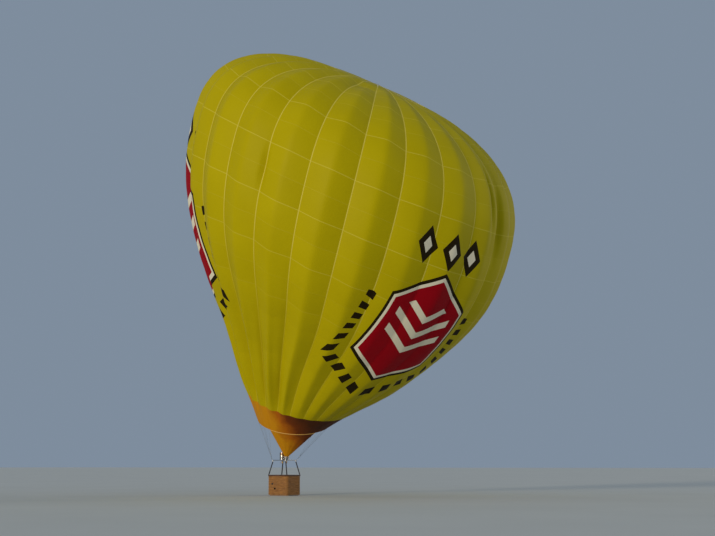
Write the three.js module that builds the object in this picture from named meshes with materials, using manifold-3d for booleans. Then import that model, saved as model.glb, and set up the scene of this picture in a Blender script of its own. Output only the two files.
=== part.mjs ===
import * as THREE from 'three';
import { mergeVertices } from 'three/addons/utils/BufferGeometryUtils.js';
import Module from 'manifold-3d';

const wasm = await Module();
wasm.setup();

// Driving dimensions, in millimetres and radians. Ground frame: +Z up, +X the way the envelope leans,
// with the middle of the basket's underside at zero.
const degrees = Math.PI / 180;
const SEAM_GAP = 0.3;
const SMALL_TURN = 0.01;
const CLOTH = 10;

// Envelope, measured along its leaning centreline from the middle of the mouth
const GORES = 24;
const MOUTH_RADIUS = 2050;
const WIDEST_RADIUS = 9450;
const WIDEST_AT = 13580;
const CROWN_AT = 19340;
const CONE_HALF_ANGLE = 38.2 * degrees;
const TOP_FULLNESS = 2.6;
const CONE_PULL = 0.55;
const WAIST_PULL = 0.3;
const LOBE_SHARE = 0.018;
const GORE_STEPS = 4;
const PANELS = 19;
const TALL_PANELS = 10;
const BAND_HEIGHT = 1440;
const VENT_RADIUS = 2700;
const VALVE_OVERLAP = 250;
const LOBE_FADE = 3000;
const VALVE_ROWS = [VENT_RADIUS + VALVE_OVERLAP, VENT_RADIUS, 1500, 300];
const CROWN_RING = { radius: 150, bar: 12, rise: 9 };
const PATCH_RADIUS = 360;
const PATCH_DROP = 23;
const VENT_TAPE = { width: 50, thickness: 5, middle: 1500, endGap: 1.2 };

// Lean of the centreline, and of the level sections that the wind has sheared
const LEAN = 16.8 * degrees;
const MOUTH_TILT = 30 * degrees;
const BODY_TILT = 28.1 * degrees;
const TILT_REACH = 7400;

// The wind also turns the tapes a little round the envelope, above the mouth
const TWIST = 6 * degrees;
const TWIST_REACH = 9000;

// Middle of the hot air, in the ground frame
const AIR_POINT = new THREE.Vector3(4000, 0, 15200);

// The mouth is drawn down on its low side, where the scoop pulls on it, and lifted on the other
const HEM_LOW_SIDE = -128 * degrees;
const HEM_DROP = 720;
const HEM_DROP_REACH = 4400;
const SCOOP_GORES = 5;
const SCOOP_CLEAR = 0.5;

// Basket and burner frame, turned a little from the lean
const YAW = -7.5 * degrees;
const BASKET = { length: 1500, width: 1150, corner: 150, wall: 25 };
const SKID = { length: 1380, width: 70, height: 40, pitch: 400, corner: 20 };
const FLOOR = 20;
const WALL_TOP = 1060;
const RIM_RADIUS = 45;
const FRAME_HEIGHT = 1950;
const FRAME = { length: 1040, width: 860, corner: 80, tube: 19 };
const RING = { length: 800, width: 660, corner: 60, tube: 14 };
const WIRE_RUN = 2300;
const WIRE_RADIUS = 3;
const UPRIGHT_RADIUS = 32;
const CYLINDER = { radius: 150, height: 860, shoulder: 70, foot: 20, footRise: 25, standOff: 10 };
const COLLAR = { radius: 104, wall: 8, depth: 120, valveRadius: 26, valveDrop: 35 };
const CAN = { radius: 145, height: 400, wall: 4, spacing: 330, foot: 20 };
const SOCKET = { radius: 28, height: 70 };
const LUG = { reach: 48, radius: 24, hole: 14, thickness: 8 };
const PIVOT = { boss: 22, bore: 9.2, pin: 8.2, bossLength: 34, pinEnd: 12, boreEnd: 10 };
const KARABINER = { radius: 26, straight: 16, bar: 6, lugSeat: 1.5, thimbleSeat: 0.9 };
const BLOCK = { length: 420, width: 120, height: 90, rise: -20 };
const COIL = { radius: 116, tube: 9, flat: 4, web: 3, pitch: 22, turns: 6 };
const VALVE = { radius: 26, length: 110, lever: 170, leverRadius: 7, inlet: 16, inletLength: 60 };
const STEPS = { width: 170, height: 110, places: [[180, 380], [380, 640]] };
const WIRE_HEM = { depth: 6.5, gap: 1.6 };
const THIMBLE = { radius: 14, bar: 4, ferrule: 40, ferruleRadius: 12 };
const SCOOP_ROWS = [0.08, 0.3, 0.65, 0.9985];

// Finishes
const finish = (colour, roughness, metalness = 0) =>
	new THREE.MeshStandardMaterial({ color: colour, roughness, metalness });
const yellowCloth = finish(0xb2a229, 0.6);
const orangeCloth = finish(0xb87309, 0.75);
const webbing = finish(0xc9c08a, 0.8);
const steel = finish(0xa9abad, 0.35, 1);
const wicker = finish(0xa9773c, 0.8);
const leather = finish(0x4a2d1c, 0.7);
const padding = finish(0x2b2b2e, 0.85);
const wood = finish(0xb98c55, 0.7);
const alloy = finish(0xb9bbbd, 0.4, 1);

// The origin of the whole part is the middle of the hot air
const part = new THREE.Group();
const ground = new THREE.Group();
const chassis = new THREE.Group();
chassis.rotation.z = YAW;
ground.position.copy(AIR_POINT).negate();
ground.add(chassis);
part.add(ground);

function add(parent, name, geometry, material) {
	const mesh = new THREE.Mesh(geometry, material);
	mesh.name = name;
	parent.add(mesh);
	return mesh;
}

// Joining and cutting
function toSolid(geometry) {
	const bare = geometry.clone();
	bare.deleteAttribute('normal');
	bare.deleteAttribute('uv');
	const merged = mergeVertices(bare, 1e-4);
	const mesh = new wasm.Mesh({
		numProp: 3,
		vertProperties: new Float32Array(merged.attributes.position.array),
		triVerts: new Uint32Array(merged.index.array),
	});
	return new wasm.Manifold(mesh);
}

function toGeometry(solid) {
	const mesh = solid.getMesh();
	const geometry = new THREE.BufferGeometry();
	geometry.setAttribute('position', new THREE.BufferAttribute(new Float32Array(mesh.vertProperties), 3));
	geometry.setIndex(new THREE.BufferAttribute(new Uint32Array(mesh.triVerts), 1));
	return geometry;
}

function join(geometries) {
	return toGeometry(geometries.map(toSolid).reduce((sum, next) => sum.add(next)));
}

function cut(geometry, tools) {
	return toGeometry(tools.map(toSolid).reduce((rest, tool) => rest.subtract(tool), toSolid(geometry)));
}

// A closed wall between two grids of points, each a list of rows; around closes each row on itself
function wall(outer, inner, around) {
	const rows = outer.length;
	const columns = outer[0].length;
	const positions = [];
	for (const grid of [outer, inner]) {
		for (const row of grid) {
			for (const point of row) positions.push(point.x, point.y, point.z);
		}
	}
	const at = (side, row, column) => side * rows * columns + row * columns + (column % columns);
	const faces = [];
	const quad = (a, b, c, d) => faces.push(a, b, c, a, c, d);
	const steps = around ? columns : columns - 1;
	for (let i = 0; i < rows - 1; i++) {
		for (let j = 0; j < steps; j++) {
			quad(at(0, i, j), at(0, i, j + 1), at(0, i + 1, j + 1), at(0, i + 1, j));
			quad(at(1, i, j), at(1, i + 1, j), at(1, i + 1, j + 1), at(1, i, j + 1));
		}
		if (!around) {
			quad(at(0, i, 0), at(0, i + 1, 0), at(1, i + 1, 0), at(1, i, 0));
			const last = columns - 1;
			quad(at(0, i, last), at(1, i, last), at(1, i + 1, last), at(0, i + 1, last));
		}
	}
	for (let j = 0; j < steps; j++) {
		quad(at(0, 0, j), at(1, 0, j), at(1, 0, j + 1), at(0, 0, j + 1));
		quad(at(0, rows - 1, j), at(0, rows - 1, j + 1), at(1, rows - 1, j + 1), at(1, rows - 1, j));
	}
	const geometry = new THREE.BufferGeometry();
	geometry.setAttribute('position', new THREE.Float32BufferAttribute(positions, 3));
	geometry.setIndex(faces);
	return geometry;
}

// Half outline of the envelope: radius and height along the centreline, at each length of cloth from the mouth
const outline = [];
{
	const reach = Math.hypot(WIDEST_RADIUS - MOUTH_RADIUS, WIDEST_AT);
	const cone = new THREE.CubicBezierCurve(
		new THREE.Vector2(MOUTH_RADIUS, 0),
		new THREE.Vector2(
			MOUTH_RADIUS + Math.sin(CONE_HALF_ANGLE) * reach * CONE_PULL,
			Math.cos(CONE_HALF_ANGLE) * reach * CONE_PULL
		),
		new THREE.Vector2(WIDEST_RADIUS, WIDEST_AT - reach * WAIST_PULL),
		new THREE.Vector2(WIDEST_RADIUS, WIDEST_AT)
	);
	const samples = 400;
	for (let i = 0; i <= samples; i++) outline.push(cone.getPoint(i / samples));
	for (let i = 1; i <= samples; i++) {
		const turn = (i / samples) * Math.PI / 2;
		outline.push(
			new THREE.Vector2(
				WIDEST_RADIUS * Math.cos(turn) ** (2 / TOP_FULLNESS),
				WIDEST_AT + (CROWN_AT - WIDEST_AT) * Math.sin(turn) ** (2 / TOP_FULLNESS)
			)
		);
	}
	outline[0].run = 0;
	for (let i = 1; i < outline.length; i++) {
		outline[i].run = outline[i - 1].run + outline[i].distanceTo(outline[i - 1]);
	}
}

function outlineAt(clothLength) {
	let i = 1;
	while (i < outline.length - 1 && outline[i].run < clothLength) i++;
	const before = outline[i - 1];
	const share = (clothLength - before.run) / (outline[i].run - before.run);
	return before.clone().lerp(outline[i], share);
}

// Length of cloth from the mouth to a radius on the top
function lengthAtRadius(radius) {
	let i = outline.length - 1;
	while (outline[i].x < radius) i--;
	const share = (outline[i].x - radius) / (outline[i].x - outline[i + 1].x);
	return outline[i].run + share * (outline[i + 1].run - outline[i].run);
}

const smooth = (value) => {
	const share = THREE.MathUtils.clamp(value, 0, 1);
	return share * share * (3 - 2 * share);
};

const centreline = new THREE.Vector3(Math.sin(LEAN), 0, Math.cos(LEAN));
const frameCentre = new THREE.Vector3(0, 0, FRAME_HEIGHT);
const mouth = frameCentre.clone().addScaledVector(centreline, WIRE_RUN);

// A point of the smooth envelope: angle around it from the low side, and length of cloth from the mouth
function envelopePoint(angle, clothLength, lobe = 0) {
	const station = outlineAt(clothLength);
	const tilt = MOUTH_TILT + (BODY_TILT - MOUTH_TILT) * smooth(station.y / TILT_REACH);
	const drop = HEM_DROP * Math.cos(angle - HEM_LOW_SIDE) * (1 - smooth(station.y / HEM_DROP_REACH));
	const radius = station.x + lobe;
	const point = mouth.clone().addScaledVector(centreline, station.y - drop);
	point.x += radius * Math.cos(angle) * Math.cos(tilt);
	point.y += radius * Math.sin(angle);
	point.z -= radius * Math.cos(angle) * Math.sin(tilt);
	return point;
}

function envelopeNormal(angle, clothLength) {
	const step = 20;
	const turn = SMALL_TURN;
	const along = envelopePoint(angle, clothLength + step).sub(envelopePoint(angle, clothLength - step));
	const across = envelopePoint(angle + turn, clothLength).sub(envelopePoint(angle - turn, clothLength));
	return across.cross(along).normalize();
}

// How far the cloth of a gore stands out between its two tapes; place runs from -1 to 1 across the gore
function lobeAt(place, clothLength) {
	const radius = outlineAt(clothLength).x;
	const fade = smooth(clothLength / (2 * BAND_HEIGHT)) * smooth((ventLength - clothLength - VALVE_OVERLAP) / LOBE_FADE);
	return LOBE_SHARE * radius * fade * (1 / 3 - place * place);
}

const ventLength = lengthAtRadius(VENT_RADIUS);
const seatLength = lengthAtRadius(VENT_RADIUS + VALVE_OVERLAP);
const goreAngle = (2 * Math.PI) / GORES;
const panelHeight = (ventLength - BAND_HEIGHT) / PANELS;

// Rows of a gore: two panels at a time up the cone, then one at a time over the shoulder
const goreRows = [];
for (let panel = 0; panel < PANELS; panel += panel < TALL_PANELS ? 2 : 1) {
	goreRows.push(BAND_HEIGHT + panel * panelHeight);
}
goreRows[0] += SEAM_GAP;
goreRows.push(seatLength, ventLength);

// Angle around the envelope of a tape, or of a place between two tapes
function tapeAngle(tape, clothLength) {
	return tape * goreAngle + TWIST * smooth(clothLength / TWIST_REACH);
}

// A stretch of cloth between two tapes; the seam gap is shared with its neighbours
function clothStrip(firstTape, gores, rows, gap) {
	const outer = [];
	const inner = [];
	for (const clothLength of rows) {
		const outerRow = [];
		const innerRow = [];
		for (let i = 0; i <= gores * GORE_STEPS; i++) {
			const angle = tapeAngle(firstTape + i / GORE_STEPS, clothLength);
			const place = ((i % GORE_STEPS) / GORE_STEPS) * 2 - 1;
			const point = envelopePoint(angle, clothLength, lobeAt(place, clothLength));
			const normal = envelopeNormal(angle, clothLength);
			const edge = i === 0 ? 1 : i === gores * GORE_STEPS ? -1 : 0;
			const across = envelopePoint(angle + SMALL_TURN, clothLength).sub(envelopePoint(angle, clothLength)).normalize();
			point.addScaledVector(across, (edge * gap) / 2);
			outerRow.push(point);
			innerRow.push(point.clone().addScaledVector(normal, -CLOTH));
		}
		outer.push(outerRow);
		inner.push(innerRow);
	}
	return [outer, inner];
}

for (let gore = 0; gore < GORES; gore++) {
	const name = `gore_${String(gore + 1).padStart(2, '0')}`;
	const [outer, inner] = clothStrip(gore, 1, goreRows, SEAM_GAP);
	add(ground, name, wall(outer, inner, false), yellowCloth);
}

// Heat-proof band around the mouth, one ring of cloth
{
	const [outer, inner] = clothStrip(0, GORES, [0, BAND_HEIGHT], 0);
	for (const grid of [outer, inner]) for (const row of grid) row.pop();
	add(ground, 'mouth_band', wall(outer, inner, true), orangeCloth);
}

// Crown ring with its tapes over the vent
const topLength = outline[outline.length - 1].run;
const crownNormal = new THREE.Vector3(Math.sin(BODY_TILT), 0, Math.cos(BODY_TILT));
const crown = envelopePoint(0, topLength);

function topNormal(angle, radius) {
	return envelopeNormal(angle, lengthAtRadius(Math.max(radius, VALVE_ROWS[3])));
}

{
	const ring = new THREE.TorusGeometry(CROWN_RING.radius, CROWN_RING.bar, 6, 24);
	ring.rotateY(BODY_TILT);
	ring.translate(...crown.clone().addScaledVector(crownNormal, CROWN_RING.rise).toArray());
	const pieces = [ring];
	const radii = [VENT_RADIUS - VENT_TAPE.endGap, VENT_TAPE.middle, CROWN_RING.radius];
	for (let i = 0; i < GORES; i++) {
		const angle = tapeAngle(i, ventLength);
		const upper = [];
		const lower = [];
		const across = envelopePoint(angle + SMALL_TURN, ventLength).sub(envelopePoint(angle, ventLength)).normalize();
		for (const radius of radii) {
			const point = envelopePoint(angle, lengthAtRadius(radius));
			const normal = topNormal(angle, radius);
			const row = [-1, 1].map((side) => point.clone().addScaledVector(across, (side * VENT_TAPE.width) / 2));
			upper.push(row);
			lower.push(row.map((corner) => corner.clone().addScaledVector(normal, -VENT_TAPE.thickness)));
		}
		pieces.push(wall(upper, lower, false));
	}
	add(ground, 'crown_ring', join(pieces), webbing);
}

// Parachute valve, a round panel pressed up under the edge of the vent
{
	const columns = GORES;
	const top = [];
	const bottom = [];
	for (const radius of VALVE_ROWS) {
		const upper = [];
		const lower = [];
		for (let i = 0; i < columns; i++) {
			const angle = tapeAngle(i, ventLength);
			const point = envelopePoint(angle, lengthAtRadius(radius));
			const normal = topNormal(angle, radius);
			upper.push(point.clone().addScaledVector(normal, -CLOTH - SEAM_GAP));
			lower.push(point.clone().addScaledVector(normal, -2 * CLOTH - SEAM_GAP));
		}
		top.push(upper);
		bottom.push(lower);
	}
	const patch = new THREE.CylinderGeometry(PATCH_RADIUS, PATCH_RADIUS, CLOTH, 24);
	patch.rotateX(Math.PI / 2);
	patch.rotateY(BODY_TILT);
	patch.translate(...crown.clone().addScaledVector(crownNormal, -PATCH_DROP).toArray());
	add(ground, 'parachute_valve', join([wall(top, bottom, true), patch]), yellowCloth);
}

// A round tube bent into a level ring with rounded corners, a flat of the tube on top and underneath
function roundedRing(length, width, corner, tube, sides = 8) {
	const steps = 16;
	const ring = new THREE.TorusGeometry(corner, tube, sides, steps);
	ring.rotateZ(Math.PI / steps);
	const flat = Math.PI / sides;
	const place = ring.attributes.position;
	for (let i = 0; i < place.count; i++) {
		const reach = Math.hypot(place.getX(i), place.getY(i));
		const out = reach - corner;
		const rise = place.getZ(i);
		const scale = (corner + out * Math.cos(flat) - rise * Math.sin(flat)) / reach;
		const x = place.getX(i) * scale;
		const y = place.getY(i) * scale;
		place.setXYZ(
			i,
			x + Math.sign(x) * (length / 2 - corner),
			y + Math.sign(y) * (width / 2 - corner),
			out * Math.sin(flat) + rise * Math.cos(flat)
		);
	}
	return ring;
}

function roundedOutline(length, width, corner) {
	const x = length / 2 - corner;
	const y = width / 2 - corner;
	const shape = new THREE.Shape();
	shape.absarc(x, y, corner, 0, Math.PI / 2);
	shape.absarc(-x, y, corner, Math.PI / 2, Math.PI);
	shape.absarc(-x, -y, corner, Math.PI, 1.5 * Math.PI);
	shape.absarc(x, -y, corner, 1.5 * Math.PI, 2 * Math.PI);
	shape.closePath();
	return shape;
}

function extrude(shape, depth, curveSegments = 4) {
	return new THREE.ExtrudeGeometry(shape, { depth, curveSegments, bevelEnabled: false });
}

// An upright cylinder whose top is shifted sideways, so that both ends stay level
function slantedPost(from, to, radius, sides = 12) {
	const height = to.z - from.z;
	const post = new THREE.CylinderGeometry(radius, radius, height, sides);
	post.rotateX(Math.PI / 2);
	const place = post.attributes.position;
	for (let i = 0; i < place.count; i++) {
		const share = place.getZ(i) / height + 0.5;
		place.setX(i, place.getX(i) + from.x + (to.x - from.x) * share);
		place.setY(i, place.getY(i) + from.y + (to.y - from.y) * share);
		place.setZ(i, from.z + height * share);
	}
	return post;
}

// A round bar between two points
function bar(from, to, radius, sides = 8) {
	const along = to.clone().sub(from);
	const rod = new THREE.CylinderGeometry(radius, radius, along.length(), sides);
	const turn = new THREE.Quaternion().setFromUnitVectors(new THREE.Vector3(0, 1, 0), along.normalize());
	rod.applyQuaternion(turn);
	rod.translate(...from.clone().add(to).multiplyScalar(0.5).toArray());
	return rod;
}

// Turns a shape drawn in X, Y and Z so that X runs along right and Y along up, and moves it
function placeAlong(geometry, right, up, at) {
	const face = new THREE.Vector3().crossVectors(right, up);
	geometry.applyMatrix4(new THREE.Matrix4().makeBasis(right, up, face).setPosition(at));
	return geometry;
}

const corners = [
	[1, -1],
	[1, 1],
	[-1, 1],
	[-1, -1],
];

// Basket: skids, floor, woven wall with its steps, and padded rim
const floorBottom = SKID.height + SEAM_GAP;
const floorTop = floorBottom + FLOOR;
const wallBottom = floorTop + SEAM_GAP;
const rimCentre = WALL_TOP + SEAM_GAP + RIM_RADIUS * Math.cos(Math.PI / 8);
const rimTop = rimCentre + RIM_RADIUS * Math.cos(Math.PI / 8);

for (let i = 0; i < 3; i++) {
	const skid = extrude(roundedOutline(SKID.length, SKID.width, SKID.corner), SKID.height, 2);
	skid.translate(0, (i - 1) * SKID.pitch, 0);
	add(chassis, `skid_${i + 1}`, skid, wood);
}
{
	const floor = extrude(roundedOutline(BASKET.length, BASKET.width, BASKET.corner), FLOOR);
	floor.translate(0, 0, floorBottom);
	add(chassis, 'basket_floor', floor, wood);

	const woven = roundedOutline(BASKET.length, BASKET.width, BASKET.corner);
	const inside = BASKET.wall;
	woven.holes.push(
		roundedOutline(BASKET.length - 2 * inside, BASKET.width - 2 * inside, BASKET.corner - inside)
	);
	const shell = extrude(woven, WALL_TOP - wallBottom);
	shell.translate(0, 0, wallBottom);
	const steps = [];
	for (const [x, z] of STEPS.places) {
		for (const side of [-1, 1]) {
			const hole = new THREE.BoxGeometry(STEPS.width, 4 * BASKET.wall, STEPS.height);
			hole.translate(side * x, (side * BASKET.width) / 2, z);
			steps.push(hole);
		}
	}
	add(chassis, 'basket_wall', cut(shell, steps), wicker);

	const rim = roundedRing(
		BASKET.length - BASKET.wall,
		BASKET.width - BASKET.wall,
		BASKET.corner - BASKET.wall / 2,
		RIM_RADIUS
	);
	rim.translate(0, 0, rimCentre);
	add(chassis, 'basket_rim', rim, leather);
}

// Fuel cylinders, one in each corner of the basket, with a collar round the valve
{
	const { radius, height, shoulder, foot, footRise, standOff } = CYLINDER;
	const { wall: collarWall, depth, valveRadius, valveDrop } = COLLAR;
	const profile = [
		new THREE.Vector2(0, 0),
		new THREE.Vector2(radius - foot, 0),
		new THREE.Vector2(radius, footRise),
	];
	const shoulderSteps = 3;
	const shoulderTurn = Math.acos(1 - (radius - COLLAR.radius) / shoulder);
	for (let i = 0; i <= shoulderSteps; i++) {
		const turn = (i / shoulderSteps) * shoulderTurn;
		const x = radius - shoulder * (1 - Math.cos(turn));
		profile.push(new THREE.Vector2(x, height - depth - shoulder * (1 - Math.sin(turn))));
	}
	profile.push(
		...[
			[COLLAR.radius, height],
			[COLLAR.radius - collarWall, height],
			[COLLAR.radius - collarWall, height - depth],
			[valveRadius, height - depth],
			[valveRadius, height - valveDrop],
			[0, height - valveDrop],
		].map(([x, y]) => new THREE.Vector2(x, y))
	);
	const x = BASKET.length / 2 - BASKET.wall - radius - standOff;
	const y = BASKET.width / 2 - BASKET.wall - radius - standOff;
	corners.forEach(([sideX, sideY], i) => {
		const tank = new THREE.LatheGeometry(profile, 16);
		tank.rotateX(Math.PI / 2);
		tank.translate(sideX * x, sideY * y, wallBottom);
		add(chassis, `fuel_cylinder_${i + 1}`, tank, alloy);
	});
}

// Burner frame, with a socket for each upright and a lug for each karabiner
const cornerReach = FRAME.corner * (1 - Math.SQRT1_2);
const frameCorner = new THREE.Vector2(FRAME.length / 2 - cornerReach, FRAME.width / 2 - cornerReach);
const socketBottom = FRAME_HEIGHT - SOCKET.height;

{
	const pieces = [roundedRing(FRAME.length, FRAME.width, FRAME.corner, FRAME.tube)];
	pieces[0].translate(0, 0, FRAME_HEIGHT);
	for (const [sideX, sideY] of corners) {
		const at = new THREE.Vector3(sideX * frameCorner.x, sideY * frameCorner.y, FRAME_HEIGHT);
		pieces.push(
			slantedPost(at.clone().setZ(socketBottom), at.clone(), SOCKET.radius)
		);
		const out = new THREE.Vector3(sideX, sideY, 0).normalize();
		const plate = new THREE.Shape();
		plate.moveTo(0, -LUG.radius);
		plate.lineTo(LUG.reach, -LUG.radius);
		plate.absarc(LUG.reach, 0, LUG.radius, -Math.PI / 2, Math.PI / 2);
		plate.lineTo(0, LUG.radius);
		plate.closePath();
		const eye = new THREE.Path();
		eye.absarc(LUG.reach, 0, LUG.hole, 0, 2 * Math.PI);
		plate.holes.push(eye);
		const lug = extrude(plate, LUG.thickness, 8);
		lug.translate(0, 0, -LUG.thickness / 2);
		pieces.push(placeAlong(lug, out, new THREE.Vector3(0, 0, 1), at));
	}
	const bores = [];
	for (const side of [-1, 1]) {
		const outside = side * (FRAME.length / 2);
		const inside = side * (FRAME.length / 2 - FRAME.tube - PIVOT.bossLength);
		const from = new THREE.Vector3(outside, 0, FRAME_HEIGHT);
		const to = new THREE.Vector3(inside, 0, FRAME_HEIGHT);
		pieces.push(bar(from, to, PIVOT.boss, 16));
		const past = to.clone().add(new THREE.Vector3(-side * PIVOT.boreEnd, 0, 0));
		bores.push(bar(new THREE.Vector3(side * (FRAME.length / 2 - FRAME.tube), 0, FRAME_HEIGHT), past, PIVOT.bore, 24));
	}
	add(chassis, 'burner_frame', cut(join(pieces), bores), steel);
}

// Gimbal ring, hung in the frame on two pins
{
	const pieces = [roundedRing(RING.length, RING.width, RING.corner, RING.tube)];
	pieces[0].translate(0, 0, FRAME_HEIGHT);
	for (const side of [-1, 1]) {
		const from = new THREE.Vector3((side * RING.length) / 2, 0, FRAME_HEIGHT);
		const to = from.clone().setX(side * (FRAME.length / 2 - FRAME.tube - PIVOT.pinEnd));
		pieces.push(bar(from, to, PIVOT.pin, 24));
	}
	const bores = [];
	for (const side of [-1, 1]) {
		const from = new THREE.Vector3(0, (side * RING.width) / 2, FRAME_HEIGHT);
		const to = from.clone().setY(side * (RING.width / 2 - RING.tube - PIVOT.bossLength));
		pieces.push(bar(from, to, PIVOT.boss, 16));
		bores.push(
			bar(
				from.clone().setY(side * (RING.width / 2 - RING.tube)),
				to.clone().setY(to.y - side * PIVOT.boreEnd),
				PIVOT.bore,
				24
			)
		);
	}
	add(chassis, 'gimbal_ring', cut(join(pieces), bores), steel);
}

// Double burner on its block, pivoted in the gimbal ring, with a blast valve and a coil for each can
{
	const block = new THREE.BoxGeometry(BLOCK.length, BLOCK.width, BLOCK.height);
	block.translate(0, 0, FRAME_HEIGHT + BLOCK.rise);
	const pieces = [block];
	for (const side of [-1, 1]) {
		const from = new THREE.Vector3(0, (side * BLOCK.width) / 4, FRAME_HEIGHT);
		const to = from.clone().setY(side * (RING.width / 2 - RING.tube - PIVOT.pinEnd));
		pieces.push(bar(from, to, PIVOT.pin, 24));
	}
	for (const side of [-1, 1]) {
		const under = FRAME_HEIGHT + BLOCK.rise - BLOCK.height / 2;
		const top = new THREE.Vector3((side * CAN.spacing) / 2, 0, under + 1);
		const low = top.clone().setZ(under - VALVE.length);
		pieces.push(bar(low, top, VALVE.radius, 12));
		const hinge = low.clone().setZ(low.z + VALVE.radius);
		pieces.push(bar(hinge, hinge.clone().setY(-VALVE.lever), VALVE.leverRadius, 8));
		pieces.push(bar(hinge, hinge.clone().setY(VALVE.inletLength), VALVE.inlet, 8));
	}
	add(chassis, 'burner_block', join(pieces), alloy);
	const { radius, height, spacing, foot } = CAN;
	const thick = CAN.wall;
	const profile = [
		[0, 0],
		[radius - foot, 0],
		[radius, foot],
		[radius, height],
		[radius - thick, height],
		[radius - thick, foot + thick],
		[radius - foot - thick, thick],
		[0, thick],
	].map(([x, y]) => new THREE.Vector2(x, y));
	[-1, 1].forEach((side, i) => {
		const can = new THREE.LatheGeometry(profile, 20);
		can.rotateX(Math.PI / 2);
		const canFoot = FRAME_HEIGHT + BLOCK.rise + BLOCK.height / 2 + SEAM_GAP;
		can.translate((side * spacing) / 2, 0, canFoot);
		add(chassis, `burner_can_${i + 1}`, can, steel);

		// Turns of the vaporising coil, stacked on each other
		const outside = [new THREE.Vector2(COIL.radius + COIL.web, 0)];
		for (let k = 0; k < COIL.turns; k++) {
			const middle = (k + 0.5) * COIL.pitch;
			outside.push(new THREE.Vector2(COIL.radius + COIL.tube, middle - COIL.flat));
			outside.push(new THREE.Vector2(COIL.radius + COIL.tube, middle + COIL.flat));
			outside.push(new THREE.Vector2(COIL.radius + COIL.web, (k + 1) * COIL.pitch));
		}
		const inside = outside.map((point) => new THREE.Vector2(2 * COIL.radius - point.x, point.y)).reverse();
		const coil = new THREE.LatheGeometry([...outside, ...inside, outside[0]], 16);
		coil.rotateX(Math.PI / 2);
		coil.translate((side * spacing) / 2, 0, canFoot + thick + SEAM_GAP);
		add(chassis, `burner_coil_${i + 1}`, coil, steel);
	});
}

// Uprights: padded covers round the rods, from the rim to the frame's sockets
corners.forEach(([sideX, sideY], i) => {
	const inset = BASKET.corner * (1 - Math.SQRT1_2) + (BASKET.wall / 2) * Math.SQRT1_2;
	const from = new THREE.Vector3(
		sideX * (BASKET.length / 2 - inset),
		sideY * (BASKET.width / 2 - inset),
		rimTop + SEAM_GAP
	);
	const to = new THREE.Vector3(sideX * frameCorner.x, sideY * frameCorner.y, socketBottom - SEAM_GAP);
	add(chassis, `upright_${i + 1}`, slantedPost(from, to, UPRIGHT_RADIUS), padding);
});

// Karabiners and flying wires: six wires from each corner of the frame to six tapes at the mouth
const up = new THREE.Vector3(0, 0, 1);
const gathers = [];
corners.forEach(([sideX, sideY], i) => {
	const out = new THREE.Vector3(sideX, sideY, 0).normalize().applyAxisAngle(up, YAW);
	const eye = new THREE.Vector3(sideX * frameCorner.x, sideY * frameCorner.y, FRAME_HEIGHT)
		.applyAxisAngle(up, YAW)
		.addScaledVector(out, LUG.reach);
	const side = Math.atan2(out.y, out.x);
	const middle = Math.floor(side / goreAngle);
	const ends = [];
	for (let j = -2; j <= 3; j++) {
		const angle = (middle + j) * goreAngle;
		const hem = envelopePoint(angle, 0);
		ends.push(hem.addScaledVector(envelopeNormal(angle, 0), -WIRE_HEM.depth));
	}
	const mean = ends.reduce((sum, end) => sum.add(end), new THREE.Vector3()).multiplyScalar(1 / ends.length);
	const pull = mean.clone().sub(eye).normalize();
	const across = new THREE.Vector3().crossVectors(out, up).normalize();
	const swing = pull.clone().addScaledVector(across, -pull.dot(across)).normalize();
	const face = new THREE.Vector3().crossVectors(across, swing);

	const link = new THREE.TorusGeometry(KARABINER.radius, KARABINER.bar, 6, 16);
	const place = link.attributes.position;
	for (let k = 0; k < place.count; k++) {
		const y = place.getY(k);
		if (Math.abs(y) > 1e-3) place.setY(k, y + Math.sign(y) * KARABINER.straight);
	}
	const reach = KARABINER.radius + KARABINER.straight;
	const linkCentre = eye.clone().addScaledVector(swing, LUG.hole - KARABINER.bar - KARABINER.lugSeat + reach);
	add(ground, `karabiner_${i + 1}`, placeAlong(link, across, swing, linkCentre), alloy);

	const thimble = new THREE.TorusGeometry(THIMBLE.radius, THIMBLE.bar, 6, 12);
	const thimbleCentre = linkCentre.clone().addScaledVector(
		swing,
		reach - KARABINER.bar - THIMBLE.bar - KARABINER.thimbleSeat + THIMBLE.radius
	);
	placeAlong(thimble, face.clone().negate(), swing, thimbleCentre);
	const ferruleStart = thimbleCentre.clone().addScaledVector(pull, THIMBLE.radius);
	const gather = ferruleStart.clone().addScaledVector(pull, THIMBLE.ferrule / 2);
	const ferruleEnd = ferruleStart.clone().addScaledVector(pull, THIMBLE.ferrule);
	const pieces = [thimble, bar(ferruleStart, ferruleEnd, THIMBLE.ferruleRadius, 8)];
	for (const end of ends) {
		const along = end.clone().sub(gather).normalize();
		pieces.push(bar(gather, end.clone().addScaledVector(along, -WIRE_HEM.gap), WIRE_RADIUS, 6));
	}
	add(ground, `flying_wires_${i + 1}`, join(pieces), steel);
	gathers.push({ gather, middle });
});

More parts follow.
